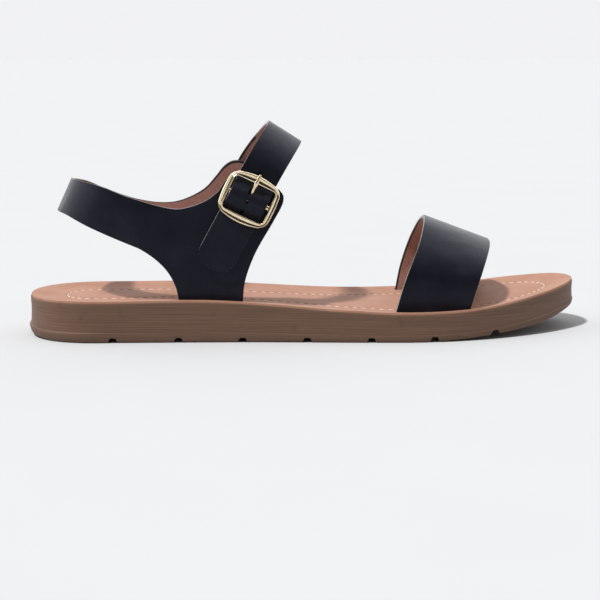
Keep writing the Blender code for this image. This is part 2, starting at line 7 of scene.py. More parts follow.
# %% Open the frame
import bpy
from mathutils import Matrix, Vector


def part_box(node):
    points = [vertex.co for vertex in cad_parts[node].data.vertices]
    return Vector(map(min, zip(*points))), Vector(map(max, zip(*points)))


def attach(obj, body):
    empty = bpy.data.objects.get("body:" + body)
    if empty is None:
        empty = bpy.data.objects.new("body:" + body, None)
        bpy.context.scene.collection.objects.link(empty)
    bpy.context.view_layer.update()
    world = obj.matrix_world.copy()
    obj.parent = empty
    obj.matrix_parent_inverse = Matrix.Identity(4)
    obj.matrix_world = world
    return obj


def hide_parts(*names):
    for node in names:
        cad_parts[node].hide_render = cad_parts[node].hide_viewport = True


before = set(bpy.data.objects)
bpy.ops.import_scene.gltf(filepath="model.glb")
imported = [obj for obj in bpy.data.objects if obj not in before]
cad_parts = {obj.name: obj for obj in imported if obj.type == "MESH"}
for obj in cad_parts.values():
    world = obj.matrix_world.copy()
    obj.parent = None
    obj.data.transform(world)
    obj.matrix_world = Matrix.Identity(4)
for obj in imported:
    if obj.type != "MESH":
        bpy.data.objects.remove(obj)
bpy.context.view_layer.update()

# %% [markdown]
# ## Sizes in the shoemaker's units
# A last is measured in millimetres from the back of the heel, so the tables are too.
# A station is that distance. The outer side of the foot is at -Y, and heights start at the floor.
# The frame has its origin in the middle of the shoe, so each finished point is shifted once, at the end.

# %% Driving sizes
import math

import bmesh
import bpy
from mathutils import Matrix, Vector

MM = 0.001
LENGTH = 250.0
CENTRE_Y = 3.284515
WALL = 1.8
GAP = 0.3
COVER = 1.4
CUP = 1.2
CUP_WIDTH = 12.0


def seated(point):
    """A point in the shoe's own sizes, moved to its place in the frame, in metres."""
    return Vector((point.x - LENGTH / 2, point.y - CENTRE_Y, point.z)) * MM


print("the heel's back edge is at x =", round(seated(Vector((0, 0, 0))).x, 4), "m")

# %% [markdown]
# ## Fair curves through a few rows
# A pattern cutter draws a fair curve through a handful of marked points, and so do these helpers.
# The points come from tables, each with the names of its columns first and then one bracket for each row.
# A curve object would do it too, but a function can be read at any place, which the straps need.

# %% Curve helpers
def table(columns, *rows):
    """Rows of numbers, each number told by its column's name. A short row has no last column."""
    return [dict(zip(columns.split(), row)) for row in rows]


def along(rows, key, value):
    """A smooth curve through one column of a table, read by another column."""
    xs = [float(row[key]) for row in rows]
    ys = [float(row[value]) for row in rows]
    slopes = []
    for i in range(len(xs)):
        low, high = max(i - 1, 0), min(i + 1, len(xs) - 1)
        slopes.append((ys[high] - ys[low]) / (xs[high] - xs[low]))

    def read(x):
        x = min(max(x, xs[0]), xs[-1])
        i = max(j for j in range(len(xs) - 1) if xs[j] <= x)
        step = xs[i + 1] - xs[i]
        t = (x - xs[i]) / step
        return (ys[i] * (1 + 2 * t) * (1 - t) ** 2 + ys[i + 1] * t * t * (3 - 2 * t)
                + step * (slopes[i] * t * (1 - t) ** 2 - slopes[i + 1] * t * t * (1 - t)))
    return read


def shares(rows, keys):
    """How far along the rows' line each row lies, from 0 to 1."""
    points = [Vector([float(row[key]) for key in keys]) for row in rows]
    lengths = [0.0]
    for a, b in zip(points, points[1:]):
        lengths.append(lengths[-1] + (b - a).length)
    return [length / lengths[-1] for length in lengths]


def path(rows, keys):
    """A smooth curve through the rows themselves, read from 0 at the first row to 1 at the last."""
    table = [dict(row, t=t) for row, t in zip(rows, shares(rows, keys))]
    curves = [along(table, "t", key) for key in keys]
    return lambda t: Vector([curve(t) for curve in curves])


def smooth(t):
    t = min(max(t, 0.0), 1.0)
    return t * t * (3 - 2 * t)


def rounded_end(distance, length, power):
    """1 away from a rounded end, falling to 0 at its tip."""
    if distance >= length:
        return 1.0
    return max(0.0, 1 - (1 - max(distance, 0.0) / length) ** power) ** (1 / power)


print("a round end of 34 mm is half as wide", round(34 * (1 - 0.75 ** 0.5), 1), "mm from its tip")

# %% [markdown]
# ## Colours and nodes
# Paint charts and screens give colours as hex codes, which are bent to suit the eye, while light adds up
# in straight proportion. One function turns the first into the second.
# Every finish is a small graph of nodes, and one helper adds a node with its settings and its links.

# %% Colour and node helpers
def paint(code):
    """An sRGB hex colour as the linear colour that the shader mixes."""
    parts = [int(code[i:i + 2], 16) / 255 for i in (1, 3, 5)]
    return tuple(c / 12.92 if c <= 0.04045 else ((c + 0.055) / 1.055) ** 2.4 for c in parts) + (1.0,)


def add(finish, kind, inputs=None, stops=(), **settings):
    """Adds one node: inputs are set, or linked where they are another node's output."""
    node = finish.node_tree.nodes.new("ShaderNode" + kind)
    for key, value in settings.items():
        setattr(node, key, value)
    while stops and len(node.color_ramp.elements) < len(stops):
        node.color_ramp.elements.new(0.5)
    for element, (place, colour) in zip(node.color_ramp.elements if stops else (), stops):
        element.position, element.color = place, colour
    for key, value in (inputs or {}).items():
        if isinstance(value, bpy.types.NodeSocket):
            finish.node_tree.links.new(value, node.inputs[key])
        else:
            node.inputs[key].default_value = value
    return node


def new_finish(name, values):
    """A finish with values on its shader, and the object's own coordinates to hang patterns on."""
    finish = bpy.data.materials.new(name)
    finish.use_nodes = True
    shader = finish.node_tree.nodes["Principled BSDF"]
    for key, value in values.items():
        shader.inputs[key].default_value = value
    place = add(finish, "TexCoord").outputs["Object"]
    return finish, shader, place


def join(finish, output, socket):
    finish.node_tree.links.new(output, socket)


def per_mm(size):
    """The texture scale that makes a feature this many millimetres across."""
    return 1 / (size * MM)


def noise(finish, place, size, detail=2.0, roughness=0.5):
    """Soft random patches this many millimetres across, from 0 to 1."""
    return add(finish, "TexNoise", {"Vector": place, "Scale": per_mm(size), "Detail": detail,
                                    "Roughness": roughness}).outputs["Fac"]


def tones(finish, value, *stops):
    """A pattern's values turned to colours: each stop is a value and a hex code."""
    return add(finish, "ValToRGB", {"Fac": value}, stops=[(at, paint(code)) for at, code in stops]).outputs[0]


def multiplied(finish, colour, by, share=1.0):
    """One colour darkened by another, in full or by a share."""
    return add(finish, "MixRGB", {"Fac": share, "Color1": colour, "Color2": by},
               blend_type="MULTIPLY").outputs[0]


def two_toned(name, values, size, detail, low, high, roughness=0.5):
    """A finish whose colour drifts between two tones in patches of one size."""
    finish, shader, place = new_finish(name, values)
    patches = noise(finish, place, size, detail, roughness)
    join(finish, tones(finish, patches, (0.3, low), (0.7, high)), shader.inputs["Base Color"])
    return finish, shader, patches


def press_in(finish, shader, *layers):
    """Bumps, one on another: each has its height pattern, strength, depth in mm, and whether it is sunk."""
    before = {}
    for height, strength, depth, sunk in layers:
        bump = add(finish, "Bump", {"Height": height, "Strength": strength, "Distance": depth * MM, **before},
                   invert=sunk)
        before = {"Normal": bump.outputs[0]}
    join(finish, bump.outputs[0], shader.inputs["Normal"])


print("mid grey", "#808080", "is", round(paint("#808080")[0], 3), "in linear light")

# %% [markdown]
# ## Shaping a flat grid
# Leather and moulded rubber are both one skin bent to a form. The quickest honest way to make such a skin
# is a flat grid whose corners are moved onto the form, because the grid keeps its rows in order.
# Closed forms meet themselves at a seam, so doubled corners are merged there before the normals are set.

# %% Grid helpers
SHARP = 50.0


def bent_grid(steps, place, closed=False, finish_at=None):
    """A flat grid with each corner moved to place(u, v), both from 0 to 1, in the shoe's own sizes."""
    bm = bmesh.new()
    bmesh.ops.create_grid(bm, x_segments=steps[0], y_segments=steps[1], size=0.5)
    for face in bm.faces if finish_at else ():
        middle = face.calc_center_median()
        face.material_index = finish_at(middle.x + 0.5, middle.y + 0.5)
    for corner in bm.verts:
        corner.co = place(corner.co.x + 0.5, corner.co.y + 0.5)
    if closed:
        bmesh.ops.remove_doubles(bm, verts=bm.verts, dist=0.004)
        bmesh.ops.recalc_face_normals(bm, faces=bm.faces)
    bm.normal_update()
    return bm


def finished(name, bm, finishes, sharp=SHARP):
    """Turns the bmesh into an object with its place in its mesh, in metres."""
    mesh = bpy.data.meshes.new(name)
    for corner in bm.verts:
        corner.co = seated(corner.co)
    bm.to_mesh(mesh)
    bm.free()
    mesh.shade_smooth()
    mesh.set_sharp_from_angle(angle=math.radians(sharp))
    for finish in finishes:
        mesh.materials.append(finish)
    piece = bpy.data.objects.new(name, mesh)
    bpy.context.collection.objects.link(piece)
    return piece


def turn_outward(bm, way):
    """Turns a sheet over if the face that lies furthest one way doesn't face that way."""
    furthest = max(bm.faces, key=lambda face: face.calc_center_median().dot(way))
    if furthest.normal.dot(way) < 0:
        bmesh.ops.reverse_faces(bm, faces=bm.faces)
        bm.normal_update()


def thicken(piece, thick, offset=0.0, lining=0, edge=0):
    """Gives a sheet its thickness, with other finishes for its back and its cut edge."""
    solid = piece.modifiers.new("thickness", "SOLIDIFY")
    solid.thickness = thick * MM
    solid.offset = offset
    solid.use_even_offset = True
    solid.material_offset = lining
    solid.material_offset_rim = edge


def soften(piece, width, segments=3, angle=SHARP):
    """Rounds the edges that turn by more than an angle, as a worn or burnished edge is round."""
    bevel = piece.modifiers.new("soft edge", "BEVEL")
    bevel.width = width * MM
    bevel.segments = segments
    bevel.limit_method = "ANGLE"
    bevel.angle_limit = math.radians(angle)


def settle(piece, cutters=()):
    """Applies a piece's modifiers, after cutting the cutters out of it, and deletes the cutters."""
    for cutter in cutters:
        boolean = piece.modifiers.new("cut", "BOOLEAN")
        boolean.object = cutter
        boolean.solver = "EXACT"
    seen = piece.evaluated_get(bpy.context.evaluated_depsgraph_get())
    mesh = bpy.data.meshes.new_from_object(seen)
    piece.modifiers.clear()
    piece.data = mesh
    mesh.name = piece.name
    mesh.set_sharp_from_angle(angle=math.radians(SHARP))
    for cutter in cutters:
        bpy.data.objects.remove(cutter, do_unlink=True)


def dress(piece, slot, *nodes):
    """Puts a piece in the place of its solids, and prints how far its box departs from theirs."""
    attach(piece, "root")
    if nodes:
        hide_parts(*nodes)
    seen = piece.evaluated_get(bpy.context.evaluated_depsgraph_get())
    corners = [Vector(c) for c in seen.bound_box]
    low = [min(c[k] for c in corners) for k in range(3)]
    high = [max(c[k] for c in corners) for k in range(3)]
    faces = len(seen.data.polygons)
    if not nodes:
        print(piece.name, "faces", faces)
        return
    boxes = [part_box(node) for node in nodes]
    parts = [round((low[k] - min(b[0][k] for b in boxes)) * 1000, 2) for k in range(3)]
    parts += [round((high[k] - max(b[1][k] for b in boxes)) * 1000, 2) for k in range(3)]
    print(piece.name, "faces", faces, "departs in mm by", parts)


# %% [markdown]
# ## The sole's outline
# The footprint of a last is two different curves: the outer side runs nearly straight, and the inner side
# draws in at the waist and swells at the ball. The ends are round, with the toe's tip on the inner side.
# A traced outline would need hundreds of points. Two tables of half widths and two rounded ends do it here.

# %% Sole tables
SOLE = table(
    "station outer inner middle top bottom",
    (0, 32.0, 32.5, 0.0, 18.4, 0.9), (12, 31.9, 32.2, 0.0, 18.4, 0.0), (40, 31.5, 31.3, 0.0, 18.4, 0.0),
    (78, 32.4, 28.5, 0.0, 18.7, 0.0), (105, 33.6, 28.3, 0.0, 17.2, 0.0),
    (140, 36.6, 34.5, 0.0, 14.4, 0.0), (170, 38.5, 42.5, 1.0, 13.2, 0.0),
    (200, 37.5, 45.0, 4.0, 14.3, 1.3), (230, 34.0, 44.0, 6.5, 18.6, 4.9),
    (250, 31.0, 43.0, 8.0, 22.4, 10.4))
HEEL_ROUND, HEEL_POWER = 34.0, 2.15
TOE_ROUND_OUTER, TOE_POWER_OUTER = 84.0, 2.0
TOE_ROUND_INNER, TOE_POWER_INNER = 50.0, 2.3
FLARE_HEEL, FLARE_TOE, TOE_SHARE = 45.0, 205.0, 0.4
GROOVES = (38.3, 67.0, 95.0, 123.3, 151.4, 179.2, 207.1)
GROOVE_WIDTH, GROOVE_FLOOR, GROOVE_DEPTH = 4.2, 2.4, 2.1

sole_table = {key: along(SOLE, "station", key) for key in ("outer", "inner", "middle", "top", "bottom")}


def sole_side(station, side):
    """The outline's y on one side of the sole: -1 is the outer side, 1 the inner side."""
    middle = sole_table["middle"](station)
    heel = rounded_end(station, HEEL_ROUND, HEEL_POWER)
    if side < 0:
        toe = rounded_end(LENGTH - station, TOE_ROUND_OUTER, TOE_POWER_OUTER)
        return middle - (sole_table["outer"](station) + middle) * heel * toe
    toe = rounded_end(LENGTH - station, TOE_ROUND_INNER, TOE_POWER_INNER)
    return middle + (sole_table["inner"](station) - middle) * heel * toe


def rim(stations):
    """The closed outline at these stations: along the outer side to the toe, and back on the inner side."""
    outer = [Vector((s, sole_side(s, -1), 0)) for s in stations]
    return outer + [Vector((s, sole_side(s, 1), 0)) for s in stations[-2:0:-1]]


def moved_out(line, distance):
    """A closed outline moved out square to itself."""
    moved = []
    for i, p in enumerate(line):
        run = line[(i + 1) % len(line)] - line[i - 1]
        moved.append(p + Vector((run.y, -run.x, 0)).normalized() * distance(p.x))
    return moved


def flare_at(station):
    toe = smooth((station - FLARE_TOE) / (LENGTH - FLARE_TOE))
    return 1 - smooth(station / FLARE_HEEL) + TOE_SHARE * toe


def tread(station):
    """The height of the tread: flat from the heel to the ball, then the toe's spring."""
    return max(0.0, sole_table["bottom"](station))


def footbed(station, inset):
    """The height of the footbed at a station, this far in from its edge."""
    return sole_table["top"](min(max(station, 0.0), LENGTH)) - CUP * smooth(inset / CUP_WIDTH)


print("the ball is", round(sole_side(178, 1) - sole_side(178, -1), 1), "mm wide")

# %% [markdown]
# ## Moulded rubber with a wood grain
# The sole is foamed rubber from a mould whose walls were cut to look like planed wood. To the eye that is
# a dull taupe brown with long fine streaks that lie level round the whole shoe, a little darker in the grain.
# A noise squeezed hard in height gives level streaks on every side, because it hardly changes along X or Y.

# %% Rubber finish
def make_rubber():
    """EVA foam rubber, moulded: matt, with a low broad gloss and shallow level grain."""
    finish, shader, place = new_finish("moulded EVA rubber", {"Roughness": 0.62, "IOR": 1.5})
    grain_height, grain_run = 0.55, 38.0
    level = add(finish, "Mapping", {"Vector": place, "Scale": (per_mm(grain_run), per_mm(grain_run),
                                                               per_mm(grain_height))})
    bend = add(finish, "TexNoise", {"Vector": place, "Scale": per_mm(26), "Detail": 2.0})
    waves = add(finish, "MixRGB", {"Fac": 0.035, "Color1": level.outputs[0], "Color2": bend.outputs["Color"]},
                blend_type="ADD")
    streaks = add(finish, "TexNoise", {"Vector": waves.outputs[0], "Scale": 1.0, "Detail": 5.0,
                                       "Roughness": 0.62}).outputs["Fac"]
    tone = tones(finish, streaks, (0.30, "#563C2D"), (0.48, "#624736"), (0.60, "#684C3B"), (0.74, "#715443"))
    dirt = add(finish, "ValToRGB", {"Fac": noise(finish, place, 9, 3.0)},
               stops=[(0.62, (1, 1, 1, 1)), (0.76, (0.78, 0.76, 0.75, 1))])
    join(finish, multiplied(finish, tone, dirt.outputs[0]), shader.inputs["Base Color"])
    press_in(finish, shader, (streaks, 0.22, 0.6, False), (noise(finish, place, 0.7), 0.12, 0.2, False))
    return finish


rubber = make_rubber()
print("finish:", rubber.name)

# %% [markdown]
# ## The sole
# The real sole is one moulding with a groove about every 28 millimetres and a low ledge that runs round the
# heel and the toe. It could be extruded from its outline, but its top, side and tread all change along its
# length. So one grid goes round each cross-section in turn, from the middle of the tread, up the outer side,
# over the top and down again. Stations crowd together at the groove walls, so the grooves come out crisp.

# %% Sole piece
SIDE = table(
    "share out flare lip",
    (0.000, -1.90, 0.00), (0.006, -1.30, 0.04), (0.022, -0.85, 0.16), (0.060, -0.46, 0.36),
    (0.130, -0.30, 0.60), (0.210, -0.20, 0.80), (0.248, -0.20, 0.84), (0.262, -0.24, 0.78),
    (0.272, -0.28, 0.56), (0.280, -0.30, 0.26), (0.292, -0.26, 0.12), (0.330, -0.22, 0.06),
    (0.460, -0.30, 0.02), (0.640, -0.40, 0.00), (0.800, -0.36, 0.00), (0.930, -0.26, 0.00),
    (1.000, -0.22, 0.00), (1.000, -0.26, 0.00, 0.60), (1.000, -0.34, 0.00, 0.75),
    (1.000, -0.46, 0.00, 0.60), (1.000, -0.50, 0.00))
SOLE_STEPS, TREAD_STEPS = 150, 24
RIB_PITCH, RIB_DEPTH, RIB_EDGE = 2.9, 0.45, 3.0
TOE_RIBS_FROM, TOE_RIBS_RISE, TOE_RIBS_SHARE = 232.0, 8.0, 0.9
WALL_STEP, CLEAR_OF_WALL, SIDE_CLEAR = 0.12, 0.35, 0.2


def groove(station):
    """How far the tread is cut away at a station, by the nearest groove."""
    near = min(abs(station - g) for g in GROOVES)
    slope = (GROOVE_WIDTH / 2 - near) / (GROOVE_WIDTH / 2 - GROOVE_FLOOR / 2)
    return GROOVE_DEPTH * min(max(slope, 0.0), 1.0)


def rib(station, inset):
    """Shallow sawtooth ribs across the tread, fading before its edge, except under the toe."""
    fade = max(smooth(inset / RIB_EDGE), smooth((station - TOE_RIBS_FROM) / TOE_RIBS_RISE) * TOE_RIBS_SHARE)
    tooth = abs((station / RIB_PITCH) % 1.0 - 0.5) * 2
    return RIB_DEPTH * tooth * fade


def sole_stations():
    """Even steps, closer at the ends, with pairs of stations at each wall of each groove."""
    even = [LENGTH / 2 * (1 - math.cos(math.pi * i / SOLE_STEPS)) for i in range(SOLE_STEPS + 1)]
    walls = [g + side * half + step for g in GROOVES for side in (-1, 1)
             for half in (GROOVE_WIDTH / 2, GROOVE_FLOOR / 2) for step in (-WALL_STEP, WALL_STEP)]
    kept = [s for s in even if min(abs(s - w) for w in walls) > CLEAR_OF_WALL]
    return sorted(kept + walls)


stations = sole_stations()
sole_rim = rim(stations)
side_rings = []
for row in SIDE:
    ring = moved_out(sole_rim, lambda s: row["out"] + row["flare"] * flare_at(s))
    for p in ring:
        s = min(max(p.x, 0.0), LENGTH)
        low = tread(s)
        level = low + (footbed(s, 0) - COVER - GAP - low) * row["share"]
        p.z = max(level, low + groove(s) + rib(s, 0) + SIDE_CLEAR * row["share"]) + row.get("lip", 0.0)
    side_rings.append(ring)


def sole_column(i):
    """The closed cross-section at one station, from the middle of the tread and back to it."""
    outer = [ring[i] for ring in side_rings]
    inner = [ring[-i % len(ring)] for ring in side_rings]
    under, half = [], TREAD_STEPS // 2
    for k in range(1, TREAD_STEPS):
        p = inner[0].lerp(outer[0], k / TREAD_STEPS)
        inset = min((p - inner[0]).length, (p - outer[0]).length)
        p.z = tread(p.x) + groove(p.x) + rib(p.x, inset)
        under.append(p)
    over = [outer[-1].lerp(inner[-1], k / 8) for k in range(1, 8)]
    for p in over:
        p.z = min(p.z, footbed(p.x, min((p - outer[-1]).length, (p - inner[-1]).length)) - COVER - GAP)
    return under[half - 1:] + outer + over + inner[::-1] + under[:half]


columns = [sole_column(i) for i in range(len(stations))]
sole_bm = bent_grid((len(columns) - 1, len(columns[0]) - 1),
                    lambda u, v: columns[round(u * (len(columns) - 1))][round(v * (len(columns[0]) - 1))],
                    closed=True)
sole = finished("sole_moulding", sole_bm, [rubber], sharp=38)
dress(sole, "sole", "sole")

# %% [markdown]
# ## The footbed's cover
# The insole is a board wrapped in a soft pink-tan man-made leather, with a fine even pore and hardly any
# gloss. Pores are cells with a darker rim, so a cell pattern drives both the colour and the bump.

# %% Cover finish
def make_cover():
    """Polyurethane leather on foam, embossed: fine pores, low sheen, warm pink tan."""
    finish, shader, place = new_finish("embossed PU leather", {"Roughness": 0.62, "IOR": 1.46,
                                                              "Specular IOR Level": 0.12})
    cloud = noise(finish, place, 14, 4.0, 0.6)
    tone = tones(finish, cloud, (0.32, "#A37863"), (0.52, "#AA7F6A"), (0.70, "#B08572"))
    # real pores are near 0.4 mm; they are drawn at 0.9 mm so that they show
    pores = add(finish, "TexVoronoi", {"Vector": place, "Scale": per_mm(0.9)}, feature="SMOOTH_F1")
    fleck = add(finish, "ValToRGB", {"Fac": pores.outputs["Distance"]},
                stops=[(0.1, (1, 1, 1, 1)), (0.8, (0.75, 0.75, 0.75, 1))])
    join(finish, multiplied(finish, tone, fleck.outputs[0], 0.35), shader.inputs["Base Color"])
    press_in(finish, shader, (pores.outputs["Distance"], 0.22, 0.2, True))
    return finish


cover = make_cover()
print("finish:", cover.name)

# %% [markdown]
# ## The insole
# Its outline is the sole's own, and it dips into a shallow cup. A line of stitches runs round it in a pressed
# channel. Rings that follow the edge suit this best: the grid runs round the outline one way, and the other
# way from the edge to the middle line, with extra rings where the channel is pressed in.

# %% Insole piece
EDGE_INSET, INSOLE_STEPS = 0.6, 300
STITCH_LINE = table(
    "station inset",
    (0, 16.0), (45, 18.0), (90, 18.6), (140, 17.6), (185, 14.6), (225, 12.2), (250, 12.6))
SPINE_START, SPINE_END = 33.0, 196.0
CHANNEL_REACH, CHANNEL_DEPTH, CHANNEL_WIDTH = 1.6, 0.42, 0.62
OUTSIDE_SHARES = (0.0, 0.012, 0.04, 0.09, 0.16, 0.26, 0.38, 0.52, 0.66, 0.82, 1.0)
CHANNEL_STEPS = (-0.75, -0.5, -0.28, 0.0, 0.28, 0.5, 0.75, 1.0)
INSIDE_SHARES = (0.12, 0.28, 0.46, 0.64, 0.82, 1.0)

stitch_inset = along(STITCH_LINE, "station", "inset")
insole_stations = [LENGTH / 2 * (1 - math.cos(math.pi * i / INSOLE_STEPS)) for i in range(INSOLE_STEPS + 1)]
outline = rim(insole_stations)
insole_rim = moved_out(outline, lambda s: -EDGE_INSET)


def spine(station):
    """The point of the insole's middle line that the rim faces from both sides of a station."""
    station = min(max(station, SPINE_START), SPINE_END)
    return Vector((station, sole_table["middle"](station) * 0.8, 0))


def ring_distances(p, length):
    """How far in from the rim each ring passes, facing this point of the rim."""
    line = stitch_inset(p.x)
    near = [share * (line - CHANNEL_REACH) for share in OUTSIDE_SHARES]
    channel = [line + step * CHANNEL_REACH for step in CHANNEL_STEPS]
    return near + channel + [channel[-1] + (length - channel[-1]) * share for share in INSIDE_SHARES]


def on_insole(p, middle, distance):
    """A point of the footbed's surface, this far in from a point of the rim toward the middle line."""
    q = p + (middle - p).normalized() * distance
    past = (distance - stitch_inset(p.x)) / CHANNEL_WIDTH
    pressed = CHANNEL_DEPTH * math.exp(-past * past)
    q.z = footbed(q.x, distance + EDGE_INSET) - pressed
    return q


facing = [spine(p.x) for p in outline]
insole_columns = [[on_insole(p, middle, d) for d in ring_distances(p, (middle - p).length)]
                  for p, middle in zip(insole_rim, facing)]
insole_columns.append(insole_columns[0])
rings = len(insole_columns[0]) - 1
insole_bm = bent_grid((len(insole_rim), rings),
                      lambda u, v: insole_columns[round(u * len(insole_rim))][round(v * rings)], closed=True)
turn_outward(insole_bm, Vector((0, 0, 1)))
insole = finished("insole_cover", insole_bm, [cover])
thicken(insole, COVER - 0.05, offset=-1.0)
soften(insole, 0.55, segments=4, angle=60)
print("rings across the footbed:", rings)

# %% [markdown]
# ## The upper's wall
# The quarter is one piece of leather: a band round the heel that drops to the sole on each side and rises to
# an arm. On the last it is a wall whose half width changes with height. So each half is a patch between a
# lower and an upper edge, laid out in station and height, and then pushed out to the wall's half width.

# %% Upper tables
UPPER_WIDTH = table(
    "z outer inner",
    (10, 26.4, 22.6), (18, 26.8, 23.0), (30, 28.4, 24.8), (42, 29.6, 26.4), (52, 29.6, 27.0),
    (64, 29.0, 26.4), (78, 28.0, 24.2))
HEEL_BACK, HEEL_BACK_Z, HEEL_LEAN = 13.8, 55.6, 0.46
HEEL_TURN = 50.0
LOWER_EDGE = table(
    "outer outer_z inner inner_z",
    (0.0, 55.6, 0.0, 55.6), (18.0, 54.6, 18.0, 54.0), (34.0, 49.4, 34.0, 49.4), (48.5, 42.5, 48.5, 42.0),
    (56.5, 37.4, 56.5, 36.6), (62.5, 31.2, 62.5, 30.6), (66.2, 23.6, 66.2, 23.0),
    (67.6, 14.9, 67.6, 14.9))
UPPER_EDGE = table(
    "outer outer_z inner inner_z",
    (0.0, 69.8, 0.0, 69.8), (20.0, 69.6, 20.0, 67.4), (34.0, 67.8, 34.0, 62.8), (48.0, 63.2, 48.0, 57.8),
    (60.5, 59.5, 59.5, 56.2), (68.5, 58.6, 68.5, 57.4), (78.6, 61.6, 78.6, 62.4),
    (84.8, 66.0, 84.6, 68.8), (88.2, 70.8, 88.0, 73.0), (92.0, 74.0, 91.8, 75.5),
    (96.6, 73.4, 96.4, 75.5), (106.8, 69.2, 106.0, 70.8), (111.4, 66.6, 110.4, 68.2))
ARM_END_ROW, ARM_SHARE = 9, 0.76
FRONT_EDGE = table(
    "outer outer_z inner inner_z",
    (95.2, 14.6, 95.2, 14.6), (96.4, 26.6, 96.4, 26.6), (100.8, 38.9, 100.4, 38.9),
    (109.2, 53.6, 108.4, 53.6), (112.8, 60.4, 111.6, 61.0), (113.2, 64.0, 112.2, 65.2),
    (111.4, 66.6, 110.4, 68.2))
upper_width = {side: along(UPPER_WIDTH, "z", side) for side in ("outer", "inner")}


def on_upper(q, z, side, out=0.0):
    """A point of the wall's middle: q follows it from the back of the heel, and then is the station."""
    half = upper_width["outer" if side < 0 else "inner"](z) + out
    back = HEEL_BACK + (z - HEEL_BACK_Z) * HEEL_LEAN - out
    if q >= HEEL_TURN:
        return Vector((q, side * half, z))
    turn = math.pi / 2 * (1 - q / HEEL_TURN)
    return Vector((HEEL_TURN - (HEEL_TURN - back) * math.sin(turn), side * half * math.cos(turn), z))


def quarter(side):
    """One half of the quarter: t runs from the back of the heel to the front edge, and h from low to high."""
    name = "outer" if side < 0 else "inner"
    keys = (name, name + "_z")
    lower, upper, front = (path(rows, keys) for rows in (LOWER_EDGE, UPPER_EDGE, FRONT_EDGE))
    arm_end = shares(UPPER_EDGE, keys)[ARM_END_ROW]

    def read(t, h):
        if t <= ARM_SHARE:
            low, high = lower(t / ARM_SHARE), upper(arm_end * t / ARM_SHARE)
        else:
            past = (t - ARM_SHARE) / (1 - ARM_SHARE)
            low, high = lower(1).lerp(front(0), past), upper(arm_end + (1 - arm_end) * past)
        p = low.lerp(high, h) + (front(h) - front(0).lerp(front(1), h)) * t
        return on_upper(p[0], p[1], side)
    return read


print("the heel band's height:", round(UPPER_EDGE[0]["outer_z"] - LOWER_EDGE[0]["outer_z"], 1), "mm")

# %% [markdown]
# ## Black leather, its lining and its cut edge
# The straps are smooth corrected-grain leather: black with a cool cast, and a soft broad gloss that fades to
# grey where the surface turns to the light. The back is a red-brown lining with a suede nap, and the edge is
# cut raw, so it shows the pale layers between; on the far side the edge and a strip of lining beside it are
# painted near-black as shade. Each has its own finish.

# %% Leather finishes
def make_leather():
    """Corrected-grain calf, pigmented and plated: near-black, with a fine pebble and a soft gloss."""
    finish, shader, place = new_finish("smooth black leather", {
        "IOR": 1.5, "Specular IOR Level": 0.19, "Specular Tint": paint("#D2D6F4"), "Sheen Weight": 0.02,
        "Sheen Tint": paint("#AEB6E6")})
    cloud = noise(finish, place, 18, 5.0, 0.6)
    tone = tones(finish, cloud, (0.30, "#0E0F14"), (0.55, "#15161C"), (0.75, "#1D1E25"))
    join(finish, tone, shader.inputs["Base Color"])
    gloss = add(finish, "MapRange", {"Value": cloud, "From Min": 0.3, "From Max": 0.7,
                                     "To Min": 0.32, "To Max": 0.44})
    join(finish, gloss.outputs[0], shader.inputs["Roughness"])
    # the real pebble is near 0.3 mm; it is drawn at 0.8 mm so that it shows
    pebble = add(finish, "TexVoronoi", {"Vector": place, "Scale": per_mm(0.8)}, feature="SMOOTH_F1")
    press_in(finish, shader, (noise(finish, place, 4.5, 4.0), 0.16, 0.8, False),
             (pebble.outputs["Distance"], 0.16, 0.15, True))
    return finish


def make_lining():
    """Split leather, dyed and brushed: matt red brown with a short nap."""
    values = {"Roughness": 0.82, "Sheen Weight": 0.25, "IOR": 1.45}
    finish, shader, nap = two_toned("brushed split lining", values, 1.2, 5.0, "#875F55", "#A4786B", 0.7)
    press_in(finish, shader, (nap, 0.3, 0.3, False))
    return finish


def make_cut_edge():
    """The raw cut through leather: pale grey fibres pressed flat."""
    return two_toned("raw cut edge", {"Roughness": 0.7, "IOR": 1.45}, 0.6, 4.0, "#6F6D6C", "#A5A3A2")[0]


def make_far_edge_shade():
    """Near-black painted shade for the far side's cut edges and the lining beside them, with a dull shine."""
    return two_toned("near-black painted edge shade", {"Roughness": 0.5, "IOR": 1.5, "Specular IOR Level": 0.3},
                     3.0, 3.0, "#17161A", "#221F23")[0]


leather, lining, cut_edge, far_edge_shade = make_leather(), make_lining(), make_cut_edge(), make_far_edge_shade()
# a wall's back takes the finish after its face's, so faces given the far-edge index have a back and edge in
# near-black painted shade
WALL_FINISHES = [leather, lining, cut_edge, leather, far_edge_shade]
FAR_EDGE_SHADE = 3
print("finishes:", [finish.name for finish in WALL_FINISHES])

# %% [markdown]
# ## Creases
# Leather that has been bent keeps soft troughs with a low ridge beside them. They are worked in here,
# one row for each, in the shoe's own sizes: where it lies, which way it runs, its reach, width and depth.
# Every strap then gets the same thickness, finishes and rounded edges, so one helper makes them all.

# %% Creases and walls
EDGE_SOFT = 0.42


def creased(bm, rows):
    """Presses each row's trough into the sheet along its normals; a negative depth is a ridge."""
    moves = {}
    for corner in bm.verts:
        depth = 0.0
        for row in rows:
            offset = corner.co - Vector(row["at"])
            run = Vector(row["run"]).normalized()
            lengthwise = offset.dot(run)
            across = (offset - run * lengthwise).length
            fade = max(0.0, 1 - (lengthwise / row["reach"]) ** 2) ** 2
            depth += row["depth"] * fade * math.exp(-(across / row["width"]) ** 2)
        moves[corner] = corner.normal * -depth
    for corner, move in moves.items():
        corner.co += move
    bm.normal_update()


